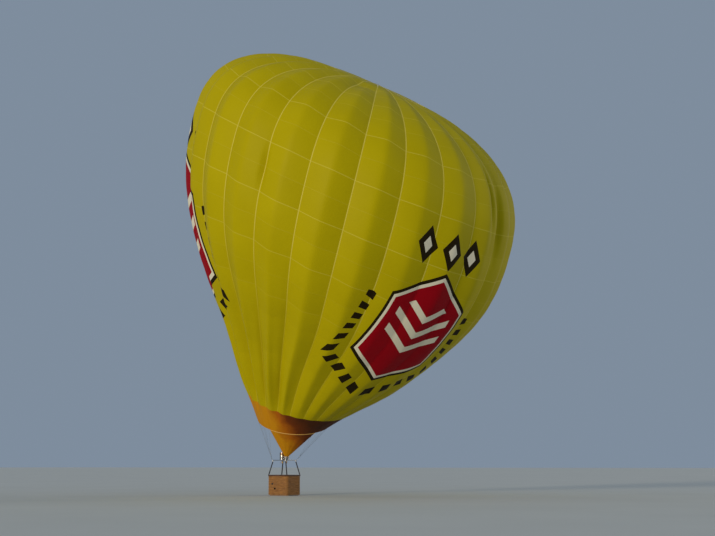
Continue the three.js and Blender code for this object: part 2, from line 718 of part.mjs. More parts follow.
// Scoop: a cloth panel laced outside the six wires of the first corner
{
	const { gather, middle } = gathers[0];
	const outer = [];
	const inner = [];
	const columns = SCOOP_GORES * GORE_STEPS;
	for (const share of SCOOP_ROWS) {
		const outerRow = [];
		const innerRow = [];
		for (let i = 0; i <= columns; i++) {
			const angle = (middle - 2 + i / GORE_STEPS) * goreAngle;
			const hemAt = (turn) => envelopePoint(turn, 0).addScaledVector(envelopeNormal(turn, 0), -WIRE_HEM.depth);
			const hem = hemAt(angle);
			const side = hemAt(angle + SMALL_TURN).sub(hemAt(angle - SMALL_TURN));
			const along = hem.clone().sub(gather);
			const normal = new THREE.Vector3().crossVectors(side, along).normalize();
			const away = WIRE_RADIUS + SCOOP_CLEAR;
			const point = gather.clone().addScaledVector(along, share);
			innerRow.push(point.clone().addScaledVector(normal, away));
			outerRow.push(point.clone().addScaledVector(normal, away + CLOTH));
		}
		outer.push(outerRow);
		inner.push(innerRow);
	}
	add(ground, 'scoop', wall(outer, inner, false), orangeCloth);
}

export default part;
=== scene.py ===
import math
from types import SimpleNamespace as Sizes

import bmesh
import bpy
import numpy as np
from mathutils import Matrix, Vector


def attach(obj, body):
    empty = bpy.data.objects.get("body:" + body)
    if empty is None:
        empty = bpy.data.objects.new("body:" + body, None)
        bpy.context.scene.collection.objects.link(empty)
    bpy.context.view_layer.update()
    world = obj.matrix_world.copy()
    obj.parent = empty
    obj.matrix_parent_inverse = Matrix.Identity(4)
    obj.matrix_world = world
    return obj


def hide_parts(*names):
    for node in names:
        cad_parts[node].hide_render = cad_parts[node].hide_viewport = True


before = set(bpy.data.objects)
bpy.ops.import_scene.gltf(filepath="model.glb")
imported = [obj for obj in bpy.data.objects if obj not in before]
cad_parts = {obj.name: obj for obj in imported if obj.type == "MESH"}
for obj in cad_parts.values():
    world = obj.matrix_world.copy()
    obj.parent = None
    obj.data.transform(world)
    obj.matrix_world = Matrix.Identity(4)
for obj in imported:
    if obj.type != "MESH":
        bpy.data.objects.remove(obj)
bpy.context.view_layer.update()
scene = bpy.context.scene


# The place where it stands: a pale floor under an even sky, a soft low light from behind the viewer, a weaker
# broad one from beyond the balloon, and a viewer with the eye at a standing person's height.
AIR_HEIGHT = 15.2  # the hot air's middle, which is the origin, above the ground
GROUND = -AIR_HEIGHT
EYE = Vector((41.94, -62.66, GROUND + 1.65))
LOOK_AT = Vector((0.9, 0.0, -2.75))
LENS_MM = 69
FAR_END = 2000
LIGHTS = {  # where each shines, its strength, and how many degrees wide its source is
    "low_light": ((0.01, 0.97, -0.12), 2.0, 10),
    "soft_fill": ((-0.6, -0.8, -0.1), 1.08, 60),
}
LIGHT_COLOUR = "#fff0d8"
SKY_COLOUR = "#b4c8df"
SKY_STRENGTH = 0.46
FLOOR_REACH = 900


def linear(code):
    """An sRGB colour in hex as linear red, green, blue and alpha."""
    parts = [int(code[i : i + 2], 16) / 255 for i in (1, 3, 5)]
    return (*[c / 12.92 if c <= 0.04045 else ((c + 0.055) / 1.055) ** 2.4 for c in parts], 1.0)


def add_node(tree, kind, sockets=None, stops=None, **settings):
    """A node with its settings. sockets maps an input's name or number to a value or to another node's
    output, and stops maps places along a colour ramp to colours."""
    made = tree.nodes.new(kind)
    for name, value in settings.items():
        setattr(made, name, value)
    for socket, value in (sockets or {}).items():
        if isinstance(value, bpy.types.NodeSocket):
            tree.links.new(value, made.inputs[socket])
        else:
            made.inputs[socket].default_value = value
    for number, (at, code) in enumerate((stops or {}).items()):
        ramp = made.color_ramp.elements
        stop = ramp[number] if number < 2 else ramp.new(at)
        stop.position = at
        stop.color = linear(code)
    return made


def new_material(name, sockets, tones=None, relief=None):
    """A material, its tree and its shader. tones is a noise, the colours along it, and how its place is
    squeezed, if it is. relief is a noise, or None for that of the tones, with its strength and its depth."""
    material = bpy.data.materials.new(name)
    material.use_nodes = True
    tree = material.node_tree
    tree.nodes.clear()
    shader = add_node(tree, "ShaderNodeBsdfPrincipled", sockets)
    add_node(tree, "ShaderNodeOutputMaterial", {"Surface": shader.outputs[0]})
    if tones or relief:
        place = add_node(tree, "ShaderNodeTexCoord").outputs["Object"]
    if tones:
        noise, stops, *squeeze = tones
        at = place
        if squeeze:
            at = add_node(tree, "ShaderNodeMapping", {"Vector": place, "Scale": squeeze[0]}).outputs[0]
        pattern = add_node(tree, "ShaderNodeTexNoise", {"Vector": at, **noise}).outputs["Fac"]
        toned = add_node(tree, "ShaderNodeValToRGB", {"Fac": pattern}, stops)
        tree.links.new(toned.outputs["Color"], shader.inputs["Base Color"])
    if relief:
        noise, strength, depth = relief
        if noise:
            pattern = add_node(tree, "ShaderNodeTexNoise", {"Vector": place, **noise}).outputs["Fac"]
        sockets = {"Height": pattern, "Strength": strength, "Distance": depth}
        raised = add_node(tree, "ShaderNodeBump", sockets)
        tree.links.new(raised.outputs[0], shader.inputs["Normal"])
    return material, tree, shader


def new_piece(name, points=(), edges=(), faces=()):
    """A piece at the origin, from points, edges and faces."""
    mesh = bpy.data.meshes.new(name)
    mesh.from_pydata([tuple(point) for point in points], edges, faces)
    piece = bpy.data.objects.new(name, mesh)
    scene.collection.objects.link(piece)
    return piece


scene.view_settings.view_transform = "Standard"
eye = bpy.data.cameras.new("eye")
eye.lens = LENS_MM
eye.clip_end = FAR_END
viewer = bpy.data.objects.new("viewer", eye)
viewer.location = EYE
viewer.rotation_mode = "QUATERNION"
viewer.rotation_quaternion = (LOOK_AT - EYE).to_track_quat("-Z", "Y")
scene.collection.objects.link(viewer)
scene.camera = viewer

for name, (towards, strength, spread) in LIGHTS.items():
    lamp = bpy.data.lights.new(name, "SUN")
    lamp.energy = strength
    lamp.angle = math.radians(spread)
    lamp.color = linear(LIGHT_COLOUR)[:3]
    hung = bpy.data.objects.new(name, lamp)
    hung.rotation_mode = "QUATERNION"
    hung.rotation_quaternion = Vector(towards).to_track_quat("-Z", "Y")
    scene.collection.objects.link(hung)

sky = bpy.data.worlds.new("even_sky")
sky.use_nodes = True
sky.node_tree.nodes["Background"].inputs["Color"].default_value = linear(SKY_COLOUR)
sky.node_tree.nodes["Background"].inputs["Strength"].default_value = SKY_STRENGTH
scene.world = sky

corners = [(x * FLOOR_REACH, y * FLOOR_REACH, GROUND) for x, y in ((-1, -1), (1, -1), (1, 1), (-1, 1))]
ground = new_piece("ground", corners, faces=[(0, 1, 2, 3)])

# Matt studio floor: one pale tone with a faint mottle, so that the shadow reads
mottle = ({"Scale": 0.15, "Detail": 3.0}, {0.0: "#cbccc5", 1.0: "#d6d7d0"})
floor_paint = new_material("matt_floor_paint", {"Roughness": 0.9}, mottle)[0]
ground.data.materials.append(floor_paint)


# Envelope cloth: 24 gores, each sewn from panels of coated ripstop nylon between two load tapes. Hot air
# fills it, so each gore stands out between its tapes as two flat slopes with a soft ridge, and low in the
# cone, where the air presses least, it hangs in folds. The wind leans it, and shears and turns its rings.
GORES = 24
GORE_ANGLE = 2 * math.pi / GORES
MOUTH_RADIUS = 2.05
WIDEST_RADIUS = 9.45
WIDEST_AT = 13.58
CROWN_AT = 19.34
CONE_HALF_ANGLE = math.radians(38.2)
TOP_FULLNESS = 2.6
CONE_PULL = 0.55
WAIST_PULL = 0.3
OUTLINE_STEPS = 400
LEAN = math.radians(16.8)
MOUTH_TILT = math.radians(30)
BODY_TILT = math.radians(28.1)
TILT_REACH = 7.4
TWIST = math.radians(6)
TWIST_REACH = 9.0
HEM_LOW_SIDE = math.radians(-128)
HEM_DROP = 0.72
HEM_DROP_REACH = 4.4
BAND_HEIGHT = 1.44
VENT_RADIUS = 2.7
PANELS = 19
CLOTH_SHOWN = 0.004  # thicker than the real 0.2 mm, so that the shell has two clear sides
FRAME_CENTRE = np.array([-4.0, 0.0, GROUND + 1.95])
WIRE_RUN = 2.3


def smooth(value, start=0.0, reach=1.0):
    """Eases from 0 to 1 over a reach from a start."""
    share = np.clip((value - start) / reach, 0, 1)
    return share * share * (3 - 2 * share)


def half_outline():
    """Length of cloth from the mouth, radius, and height on the centreline, all up the envelope."""
    reach = math.hypot(WIDEST_RADIUS - MOUTH_RADIUS, WIDEST_AT)
    t = np.linspace(0, 1, OUTLINE_STEPS + 1)[:, None]
    cone = np.array([math.sin(CONE_HALF_ANGLE), math.cos(CONE_HALF_ANGLE)]) * reach * CONE_PULL
    waist = (WIDEST_RADIUS, WIDEST_AT - reach * WAIST_PULL)
    corners = [(MOUTH_RADIUS, 0), (MOUTH_RADIUS + cone[0], cone[1]), waist, (WIDEST_RADIUS, WIDEST_AT)]
    weights = np.hstack([(1 - t) ** 3, 3 * (1 - t) ** 2 * t, 3 * (1 - t) * t * t, t**3])
    turn = np.linspace(0, math.pi / 2, OUTLINE_STEPS + 1)[1:]
    top_radii = WIDEST_RADIUS * np.cos(turn) ** (2 / TOP_FULLNESS)
    top_heights = WIDEST_AT + (CROWN_AT - WIDEST_AT) * np.sin(turn) ** (2 / TOP_FULLNESS)
    line = np.vstack([weights @ np.array(corners), np.stack([top_radii, top_heights], 1)])
    run = np.concatenate([[0], np.cumsum(np.hypot(*np.diff(line, axis=0).T))])
    return run, line[:, 0], line[:, 1]


RUNS, RADII, HEIGHTS = half_outline()


def radius_at(run):
    return np.interp(run, RUNS, RADII)


def run_at(radius):
    """Length of cloth from the mouth to a radius on the top."""
    top = slice(OUTLINE_STEPS + 1, None)
    return np.interp(-np.asarray(radius, float), -RADII[top], RUNS[top])


VENT_RUN = float(run_at(VENT_RADIUS))
PANEL_HEIGHT = (VENT_RUN - BAND_HEIGHT) / PANELS
CENTRELINE = np.array([math.sin(LEAN), 0, math.cos(LEAN)])
MOUTH_CENTRE = FRAME_CENTRE + CENTRELINE * WIRE_RUN


def envelope_point(tape, run, out=0.0):
    """Points of the envelope at a tape's number, or between two, and a length of cloth from the mouth."""
    tape, run, out = np.broadcast_arrays(*[np.asarray(x, float) for x in (tape, run, out)])
    angle = tape * GORE_ANGLE + TWIST * smooth(run, 0, TWIST_REACH)
    radius = radius_at(run) + out
    height = np.interp(run, RUNS, HEIGHTS)
    tilt = MOUTH_TILT + (BODY_TILT - MOUTH_TILT) * smooth(height, 0, TILT_REACH)
    drop = HEM_DROP * np.cos(angle - HEM_LOW_SIDE) * (1 - smooth(height, 0, HEM_DROP_REACH))
    lee = radius * np.cos(angle)
    ring = np.stack([lee * np.cos(tilt), radius * np.sin(angle), -lee * np.sin(tilt)], -1)
    return MOUTH_CENTRE + CENTRELINE * (height - drop)[..., None] + ring


def envelope_normal(tape, run):
    step = 0.02
    along = envelope_point(tape, run + step) - envelope_point(tape, run - step)
    across = envelope_point(np.asarray(tape) + step, run) - envelope_point(np.asarray(tape) - step, run)
    normal = np.cross(across, along)
    return normal / np.linalg.norm(normal, axis=-1, keepdims=True)


def sheet_faces(rows, columns, around=False):
    """Four-sided faces of a grid of points, row after row."""
    faces = []
    for i in range(rows - 1):
        for j in range(columns if around else columns - 1):
            k = (j + 1) % columns
            faces.append((i * columns + j, i * columns + k, (i + 1) * columns + k, (i + 1) * columns + j))
    return faces


def smooth_piece(name, points, faces, material=None):
    piece = new_piece(name, np.asarray(points, float).reshape(-1, 3), faces=faces)
    piece.data.shade_smooth()
    if material:
        piece.data.materials.append(material)
    return piece


def settle(piece):
    """Turns what the modifiers make into the piece's own plain mesh."""
    shape = piece.evaluated_get(bpy.context.evaluated_depsgraph_get())
    mesh = bpy.data.meshes.new_from_object(shape)
    piece.modifiers.clear()
    old = piece.data
    piece.data = mesh
    mesh.name = piece.name
    bpy.data.meshes.remove(old)
    return piece


def thicken(piece, thickness, side):
    """Gives cloth its thickness, on the inner (-1) or outer (1) side of its faces, and settles it."""
    thick = piece.modifiers.new("thickness", "SOLIDIFY")
    thick.thickness = thickness
    thick.offset = side
    return settle(piece)


def give_inputs(piece, tree, values):
    """Adds a Geometry Nodes modifier and sets its named inputs by their sockets' identifiers."""
    modifier = piece.modifiers.new(tree.name, "NODES")
    modifier.node_group = tree
    for socket in tree.interface.items_tree:
        if socket.item_type == "SOCKET" and socket.in_out == "INPUT" and socket.name in values:
            modifier[socket.identifier] = values[socket.name]


def new_tree(name, inputs):
    """A geometry tree with a geometry in and out and the named number or material inputs."""
    tree = bpy.data.node_groups.new(name, "GeometryNodeTree")
    tree.interface.new_socket("Geometry", in_out="INPUT", socket_type="NodeSocketGeometry")
    for label, kind in inputs.items():
        tree.interface.new_socket(label, in_out="INPUT", socket_type="NodeSocket" + kind)
    tree.interface.new_socket("Geometry", in_out="OUTPUT", socket_type="NodeSocketGeometry")
    return tree, add_node(tree, "NodeGroupInput").outputs


def end_tree(tree, geometry, material):
    """Realises the instances, gives the material and ends the tree."""
    real = add_node(tree, "GeometryNodeRealizeInstances", {"Geometry": geometry})
    sockets = {"Geometry": real.outputs[0], "Material": material}
    finished = add_node(tree, "GeometryNodeSetMaterial", sockets)
    add_node(tree, "NodeGroupOutput", {"Geometry": finished.outputs[0]})
    return tree


AIR = {
    "Lobe": 0.038,
    "Cone Lobe": 0.3,
    "Ridge Softness": 0.14,
    "Panel Bulge": 0.012,
    "Fold Depth": 0.36,
    "Pucker Depth": 0.09,
    "Seed": 3.0,
}
AIR_SUMS = (  # each names a number on the cloth, the sum that gives it, and the sum's terms
    # two slopes up to a soft ridge along each gore's middle, steeper where the cone hangs slack
    ("squared", "MULTIPLY", "place", "place"),
    ("softness", "MULTIPLY", "Ridge Softness", "Ridge Softness"),
    ("blunted", "ADD", "squared", "softness"),
    ("ridge", "SQRT", "blunted"),
    ("slopes", "SUBTRACT", 0.5, "ridge"),
    ("lobe share", "MULTIPLY", "slopes", "Lobe"),
    ("lobe", "MULTIPLY", "lobe share", "fill"),
    ("billow", "MULTIPLY", "slopes", "Cone Lobe"),
    ("slack billow", "MULTIPLY", "billow", "slack"),
    ("lobes", "ADD", "lobe", "slack billow"),
    # a shallow pillow in each panel
    ("in panel", "FRACT", "panel"),
    ("doubled", "MULTIPLY", "in panel", 2.0),
    ("across panel", "SUBTRACT", "doubled", 1.0),
    ("panel squared", "MULTIPLY", "across panel", "across panel"),
    ("round panel", "SUBTRACT", 1.0, "panel squared"),
    ("off tape", "SUBTRACT", 1.0, "squared"),
    ("pillow shape", "MULTIPLY", "round panel", "off tape"),
    ("pillow", "MULTIPLY", "pillow shape", "Panel Bulge"),
    # long folds up the slack cone
    ("fold swing", "SUBTRACT", "fold_place", 0.5),
    ("deep fold", "MULTIPLY", "fold swing", "Fold Depth"),
    ("fold", "MULTIPLY", "deep fold", "slack"),
    # short puckers along the tapes
    ("aside", "ABSOLUTE", "place"),
    ("near tape", "POWER", "aside", 3.0),
    ("pucker swing", "SUBTRACT", "pucker_place", 0.5),
    ("pucker depth", "MULTIPLY", "near tape", "Pucker Depth"),
    ("deep pucker", "MULTIPLY", "pucker swing", "pucker depth"),
    ("pucker", "MULTIPLY", "deep pucker", "off tape"),
    # all of them together, less the wind's dents
    ("full", "ADD", "lobes", "pillow"),
    ("creased", "ADD", "fold", "pucker"),
    ("stood out", "ADD", "full", "creased"),
    ("out", "SUBTRACT", "stood out", "dent"),
)


def cloth_tree():
    """Fills cloth with air: ridges each gore between its tapes, folds it low down and puckers its seams."""
    tree, given = new_tree("air_in_the_cloth", {**dict.fromkeys(AIR, "Float"), "Cloth": "Material"})
    known = {name: given[name] for name in AIR}
    for name in ("place", "panel", "fill", "slack", "dent"):
        read = add_node(tree, "GeometryNodeInputNamedAttribute", {"Name": name}, data_type="FLOAT")
        known[name] = read.outputs[0]
    for name, detail in (("fold_place", 1.0), ("pucker_place", 2.0), ("outward", None)):
        read = add_node(tree, "GeometryNodeInputNamedAttribute", {"Name": name}, data_type="FLOAT_VECTOR")
        known[name] = read.outputs[0]
        if detail:
            sockets = {"Vector": read.outputs[0], "W": given["Seed"], "Scale": 1.0, "Detail": detail}
            creases = add_node(tree, "ShaderNodeTexNoise", sockets, noise_dimensions="4D")
            known[name] = creases.outputs["Fac"]
    for name, operation, *terms in AIR_SUMS:
        sockets = {i: known.get(term, term) for i, term in enumerate(terms)}
        known[name] = add_node(tree, "ShaderNodeMath", sockets, operation=operation).outputs[0]
    push = add_node(
        tree, "ShaderNodeVectorMath", {0: known["outward"], "Scale": known["out"]}, operation="SCALE"
    )
    sockets = {"Geometry": given["Geometry"], "Offset": push.outputs[0]}
    filled = add_node(tree, "GeometryNodeSetPosition", sockets)
    return end_tree(tree, filled.outputs[0], given["Cloth"])


def store(mesh, name, values):
    """Keeps a number, or three, for each point of a mesh."""
    values = np.asarray(values, np.float32).ravel()
    single = len(values) == len(mesh.vertices)
    attribute = mesh.attributes.new(name, "FLOAT" if single else "FLOAT_VECTOR", "POINT")
    attribute.data.foreach_set("value" if single else "vector", values)


def store_map(mesh, name, u, v):
    """Keeps a UV map from one pair of values for each corner of the mesh's faces."""
    layer = mesh.uv_layers.new(name=name)
    layer.data.foreach_set("uv", np.stack([u, v], -1).astype(np.float32).ravel())


# Coated ripstop nylon: a thin closely woven cloth with a polyurethane coat. From a step away it has a soft,
# slightly silky sheen, faint blotches where the cloth is tighter or slacker, and panels from different rolls
# that don't quite match. Its 5 mm ripstop squares are too fine to show, so they are drawn at 40 mm.
CLOTH_TONES = ("#a99b00", "#b9ab04")
LOW_TONE_PANELS = (4.5, 9.5)  # panels, counted up from the mouth band, between which the low tone gives way to the upper tones
PRINT_RED = "#960414"
PRINT_CREAM = "#e2dcc4"
PRINT_DARK = "#241c08"
PRINT_TAPE = -1.5  # the prints are centred between two tapes, a third of the way round from each other
PRINT_RUN = 10.1
PRINTS = 3
FIELD = Sizes(half_width=2.45, half_height=3.75, slant=0.45, edge=0.06)
CHEVRON = Sizes(slope=0.7, start=0.25, pitch=1.15, share=0.42, middle=0.35, half_span=1.7, reach=0.74)
DASH = Sizes(reach=1.42, half=0.1, count=30, phase=0.275, share=0.55, top=1.75)
GEM = Sizes(height=5.1, pitch=1.6, half_width=0.66, half_height=1.0, heart=0.45)
RIPSTOP = Sizes(pitch=0.04, line=0.004, groove=-0.05)
TONE = Sizes(blotches=0.8, rolls=0.2)
PRINT_SUMS = (  # each names a number on the cloth, the sum that gives it, and the sum's terms
    ("blotched", "MULTIPLY", "blotch", TONE.blotches),
    ("rolled", "MULTIPLY", "roll", TONE.rolls),
    ("tone", "ADD", "blotched", "rolled"),
    ("aside", "ABSOLUTE", "side"),
    ("above", "ABSOLUTE", "up"),
    # the red six-sided field with its cream border and dark outline
    ("across", "DIVIDE", "aside", FIELD.half_width),
    ("slant", "MULTIPLY", "across", FIELD.slant),
    ("rise", "DIVIDE", "above", FIELD.half_height),
    ("slanted", "ADD", "slant", "rise"),
    ("reach", "MAXIMUM", "across", "slanted"),
    ("outlined", "LESS_THAN", "reach", 1 + FIELD.edge),
    ("bordered", "LESS_THAN", "reach", 1.0),
    ("red", "LESS_THAN", "reach", 1 - FIELD.edge),
    # three cream chevrons inside it
    ("fall", "MULTIPLY", "aside", CHEVRON.slope),
    ("slope", "SUBTRACT", "up", "fall"),
    ("from start", "ADD", "slope", CHEVRON.start),
    ("pitches", "DIVIDE", "from start", CHEVRON.pitch),
    ("in pitch", "FRACT", "pitches"),
    ("stripe", "LESS_THAN", "in pitch", CHEVRON.share),
    ("from middle", "ADD", "slope", CHEVRON.middle),
    ("off middle", "ABSOLUTE", "from middle"),
    ("in span", "LESS_THAN", "off middle", CHEVRON.half_span),
    ("stripes", "MULTIPLY", "stripe", "in span"),
    ("in reach", "LESS_THAN", "reach", CHEVRON.reach),
    ("chevron", "MULTIPLY", "stripes", "in reach"),
    # dark dashes round its lower sides
    ("past ring", "SUBTRACT", "reach", DASH.reach),
    ("off ring", "ABSOLUTE", "past ring"),
    ("ring", "LESS_THAN", "off ring", DASH.half),
    ("turn", "ARCTAN2", "up", "side"),
    ("turned", "DIVIDE", "turn", 2 * math.pi / DASH.count),
    ("phased", "ADD", "turned", DASH.phase),
    ("in dash", "FRACT", "phased"),
    ("inked", "LESS_THAN", "in dash", DASH.share),
    ("dashes", "MULTIPLY", "ring", "inked"),
    ("low", "LESS_THAN", "up", DASH.top),
    ("low dashes", "MULTIPLY", "dashes", "low"),
    ("dark", "MAXIMUM", "outlined", "low dashes"),
    # a row of three dark gems with cream hearts above it
    ("past row", "SUBTRACT", "up", GEM.height),
    ("off row", "ABSOLUTE", "past row"),
    ("along row", "ADD", "side", 10.5 * GEM.pitch),
    ("in gem", "MODULO", "along row", GEM.pitch),
    ("from gem", "SUBTRACT", "in gem", GEM.pitch / 2),
    ("off gem", "ABSOLUTE", "from gem"),
    ("gem across", "DIVIDE", "off gem", GEM.half_width),
    ("gem up", "DIVIDE", "off row", GEM.half_height),
    ("gem", "ADD", "gem across", "gem up"),
    ("in row", "LESS_THAN", "aside", 1.5 * GEM.pitch),
    ("whole gem", "LESS_THAN", "gem", 1.0),
    ("dark gem", "MULTIPLY", "whole gem", "in row"),
    ("gem's heart", "LESS_THAN", "gem", GEM.heart),
    ("cream gem", "MULTIPLY", "gem's heart", "in row"),
    # the ripstop's grooves and the creases of use
    ("groove", "MULTIPLY", "square", RIPSTOP.groove),
    ("relief", "ADD", "groove", "crease"),
)
PRINT_LAYERS = (
    ("dark", PRINT_DARK),
    ("bordered", PRINT_CREAM),
    ("red", PRINT_RED),
    ("chevron", PRINT_CREAM),
    ("dark gem", PRINT_DARK),
    ("cream gem", PRINT_CREAM),
)


def printed_cloth(name, tones, blotch_size, relief_depth, roughness, low_tone=None):
    """A yellow cloth with the prints on it, read from its print and cut UV maps. low_tone is its colour low
    in the cone, deeper than its tones higher up."""
    sockets = {"Roughness": roughness, "Specular IOR Level": 0.06}
    material, tree, shader = new_material(name, sockets)
    place = add_node(tree, "ShaderNodeTexCoord").outputs["Object"]
    cut = add_node(tree, "ShaderNodeUVMap", uv_map="cut").outputs[0]
    printed = add_node(tree, "ShaderNodeUVMap", uv_map="print").outputs[0]
    sockets = {"Vector": place, "Scale": blotch_size, "Detail": 4.0}
    blotches = add_node(tree, "ShaderNodeTexNoise", sockets)
    panel_number = add_node(tree, "ShaderNodeVectorMath", {0: cut}, operation="FLOOR")
    sockets = {"Vector": panel_number.outputs[0]}
    roll = add_node(tree, "ShaderNodeTexWhiteNoise", sockets, noise_dimensions="2D")
    at = add_node(tree, "ShaderNodeSeparateXYZ", {0: printed})
    sockets = {
        "Vector": printed,
        "Scale": 1.0,
        "Mortar Size": RIPSTOP.line,
        "Brick Width": RIPSTOP.pitch,
        "Row Height": RIPSTOP.pitch,
        "Color1": (1, 1, 1, 1),
        "Color2": (1, 1, 1, 1),
        "Mortar": (0, 0, 0, 1),
    }
    squares = add_node(tree, "ShaderNodeTexBrick", sockets, offset=0.0)
    creases = add_node(tree, "ShaderNodeTexNoise", {"Vector": place, "Scale": 2.2, "Detail": 5.0})
    known = {
        "blotch": blotches.outputs["Fac"],
        "roll": roll.outputs["Value"],
        "side": at.outputs[0],
        "up": at.outputs[1],
        "square": squares.outputs["Fac"],
        "crease": creases.outputs["Fac"],
    }
    for sum_name, operation, *terms in PRINT_SUMS:
        sockets = {i: known.get(term, term) for i, term in enumerate(terms)}
        known[sum_name] = add_node(tree, "ShaderNodeMath", sockets, operation=operation).outputs[0]

    sockets = {"Factor": known["tone"], 6: linear(tones[0]), 7: linear(tones[1])}
    colour = add_node(tree, "ShaderNodeMix", sockets, data_type="RGBA").outputs[2]
    if low_tone:
        panel = add_node(tree, "ShaderNodeSeparateXYZ", {0: cut}).outputs[1]
        sockets = {"Value": panel, "From Min": LOW_TONE_PANELS[0], "From Max": LOW_TONE_PANELS[1]}
        high = add_node(tree, "ShaderNodeMapRange", sockets)
        sockets = {"Factor": high.outputs[0], 6: linear(low_tone), 7: colour}
        colour = add_node(tree, "ShaderNodeMix", sockets, data_type="RGBA").outputs[2]
    for share, over in PRINT_LAYERS:
        sockets = {"Factor": known[share], 6: colour, 7: linear(over)}
        colour = add_node(tree, "ShaderNodeMix", sockets, data_type="RGBA").outputs[2]
    tree.links.new(colour, shader.inputs["Base Color"])
    sockets = {"Height": known["relief"], "Strength": relief_depth, "Distance": 0.03}
    raised = add_node(tree, "ShaderNodeBump", sockets)
    tree.links.new(raised.outputs[0], shader.inputs["Normal"])
    return material


cloth = printed_cloth("coated_ripstop_nylon", CLOTH_TONES, 0.45, 0.25, 0.55)

ROWS_PER_PANEL = 8
COLUMNS = 24
FULL = Sizes(foot=0.8, rise=1.8, vent_gap=0.05, vent_fade=1.6)  # where along its length air fills it
TAUT = Sizes(cosine=0.6, fade=0.3, least=0.35, more=0.4, top=12.5, top_fade=4)  # flattened, on the lee side
SLACK = Sizes(foot=0.4, rise=2.5, full=3, top=12.5, least=0.1, more=0.9, cosine=0.75)  # on the windward side
FOLDS_ROUND = 7.5
FOLDS_UP = 0.10
PUCKERS = (3.0, 3.4)
CLOTH_SHARP = math.radians(40)
DENT_END = Sizes(gap=0.3, fade=1.2)
DENTS = [  # tape, run, half widths in tapes and metres, depth: where the wind has pushed the cloth in
    (-4.6, 24.6, 0.5, 1.8, 0.2),
    (-6.0, 15.5, 0.07, 1.1, 0.16),
    (-0.33, 18.6, 0.09, 1.6, 0.26),
    (0.1, 17.4, 0.09, 1.6, 0.26),
]
filled_cloth = cloth_tree()


def cloth_grid(name, tape, run, around=False):
    """Cloth over a grid of places on the envelope, with what its tree reads from it."""
    piece = smooth_piece(name, envelope_point(tape, run), sheet_faces(*tape.shape, around))
    place = (tape - np.floor(tape - 1e-9)) * 2 - 1
    lee = np.cos(tape * GORE_ANGLE)
    aside = np.sin(tape * GORE_ANGLE)
    low = TAUT.least + TAUT.more * smooth(TAUT.top - run, 0, TAUT.top_fade)
    taut = smooth(lee, TAUT.cosine, TAUT.fade) * low
    fill = smooth(run, FULL.foot, FULL.rise) * smooth(VENT_RUN - run, FULL.vent_gap, FULL.vent_fade)
    windward = SLACK.least + SLACK.more * smooth(SLACK.cosine - lee, 0, SLACK.cosine)
    slack = smooth(run, SLACK.foot, SLACK.rise) * (1 - smooth(run, SLACK.full, SLACK.top - SLACK.full))
    dent = 0
    for at, middle, width, half, depth in DENTS:
        off_tape = ((tape + GORES / 2) % GORES - GORES / 2 - at) / width
        dent = dent + depth * np.exp(-(off_tape**2) - ((run - middle) / half) ** 2)
    for label, values in {
        "place": place,
        "dent": dent * smooth(VENT_RUN - DENT_END.gap - run, 0, DENT_END.fade),
        "panel": np.maximum(0, run - BAND_HEIGHT) / PANEL_HEIGHT,
        "fill": fill * (1 - taut) * radius_at(run),
        "slack": slack * windward,
        "outward": envelope_normal(tape, run),
        "fold_place": np.stack([lee * FOLDS_ROUND, aside * FOLDS_ROUND, run * FOLDS_UP], -1),
        "pucker_place": np.stack([tape * PUCKERS[0], run * PUCKERS[1], place], -1),
    }.items():
        store(piece.data, label, values)
    return piece


def map_print(piece, tape, run, around=False):
    """Maps the nearest print, in metres, and the panels' numbers on each face of a cloth grid."""
    left, right = (tape, np.roll(tape, -1, axis=1)) if around else (tape[:, :-1], tape[:, 1:])
    if around:
        right[:, -1] += GORES
    run = run[:, : left.shape[1]]
    tapes = np.stack([left[:-1], right[:-1], right[1:], left[1:]], -1)
    runs = np.stack([run[:-1], run[:-1], run[1:], run[1:]], -1)
    gore = np.floor(tapes.mean(axis=-1)) + 0.5
    spacing = GORES / PRINTS
    nearest = PRINT_TAPE + spacing * np.round((gore - PRINT_TAPE) / spacing)
    across = (tapes - nearest[..., None]) * GORE_ANGLE * radius_at(runs)
    store_map(piece.data, "print", across, runs - PRINT_RUN)
    store_map(piece.data, "cut", tapes, (runs - BAND_HEIGHT) / PANEL_HEIGHT)


def fill_with_air(piece, material, thickness, side):
    """Runs the cloth's tree on a grid, gives it its thickness and keeps the edges between panels crisp."""
    give_inputs(piece, filled_cloth, {**AIR, "Cloth": material})
    thicken(piece, thickness, side)
    piece.data.set_sharp_from_angle(angle=CLOTH_SHARP)
    return piece


gore_runs = np.linspace(BAND_HEIGHT, VENT_RUN, PANELS * ROWS_PER_PANEL + 1)
for gore in range(GORES):
    tape, run = np.meshgrid(np.linspace(gore, gore + 1, COLUMNS + 1), gore_runs)
    piece = cloth_grid(f"cloth_gore_{gore + 1:02d}", tape, run)
    map_print(piece, tape, run)
    fill_with_air(piece, cloth, CLOTH_SHOWN, -1)
    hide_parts(f"gore_{gore + 1:02d}")
    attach(piece, "envelope_and_basket")


# Load tapes and panel seams: woven polyester tapes sewn over the gores' edges carry the load from the
# crown to the mouth, and flat-felled seams join the panels across them. They catch the light as pale thin
# lines.
TAPE_WIDTH = 0.055
TAPE_THICKNESS = 0.006
SEAM_WIDTHS = (0.042, 0.01)
SEAM_THICKNESS = 0.003

# Woven polyester tape and doubled nylon: duller and paler than the single cloth, and deeper in tone low down
webbing = printed_cloth("woven_polyester_tape", ("#c8ba40", "#d6c858"), 1.5, 0.15, 0.6, "#bcae20")
seam_cloth = printed_cloth("doubled_nylon_seam", ("#bdb02c", "#c6b93a"), 1.5, 0.15, 0.6, "#b3a503")


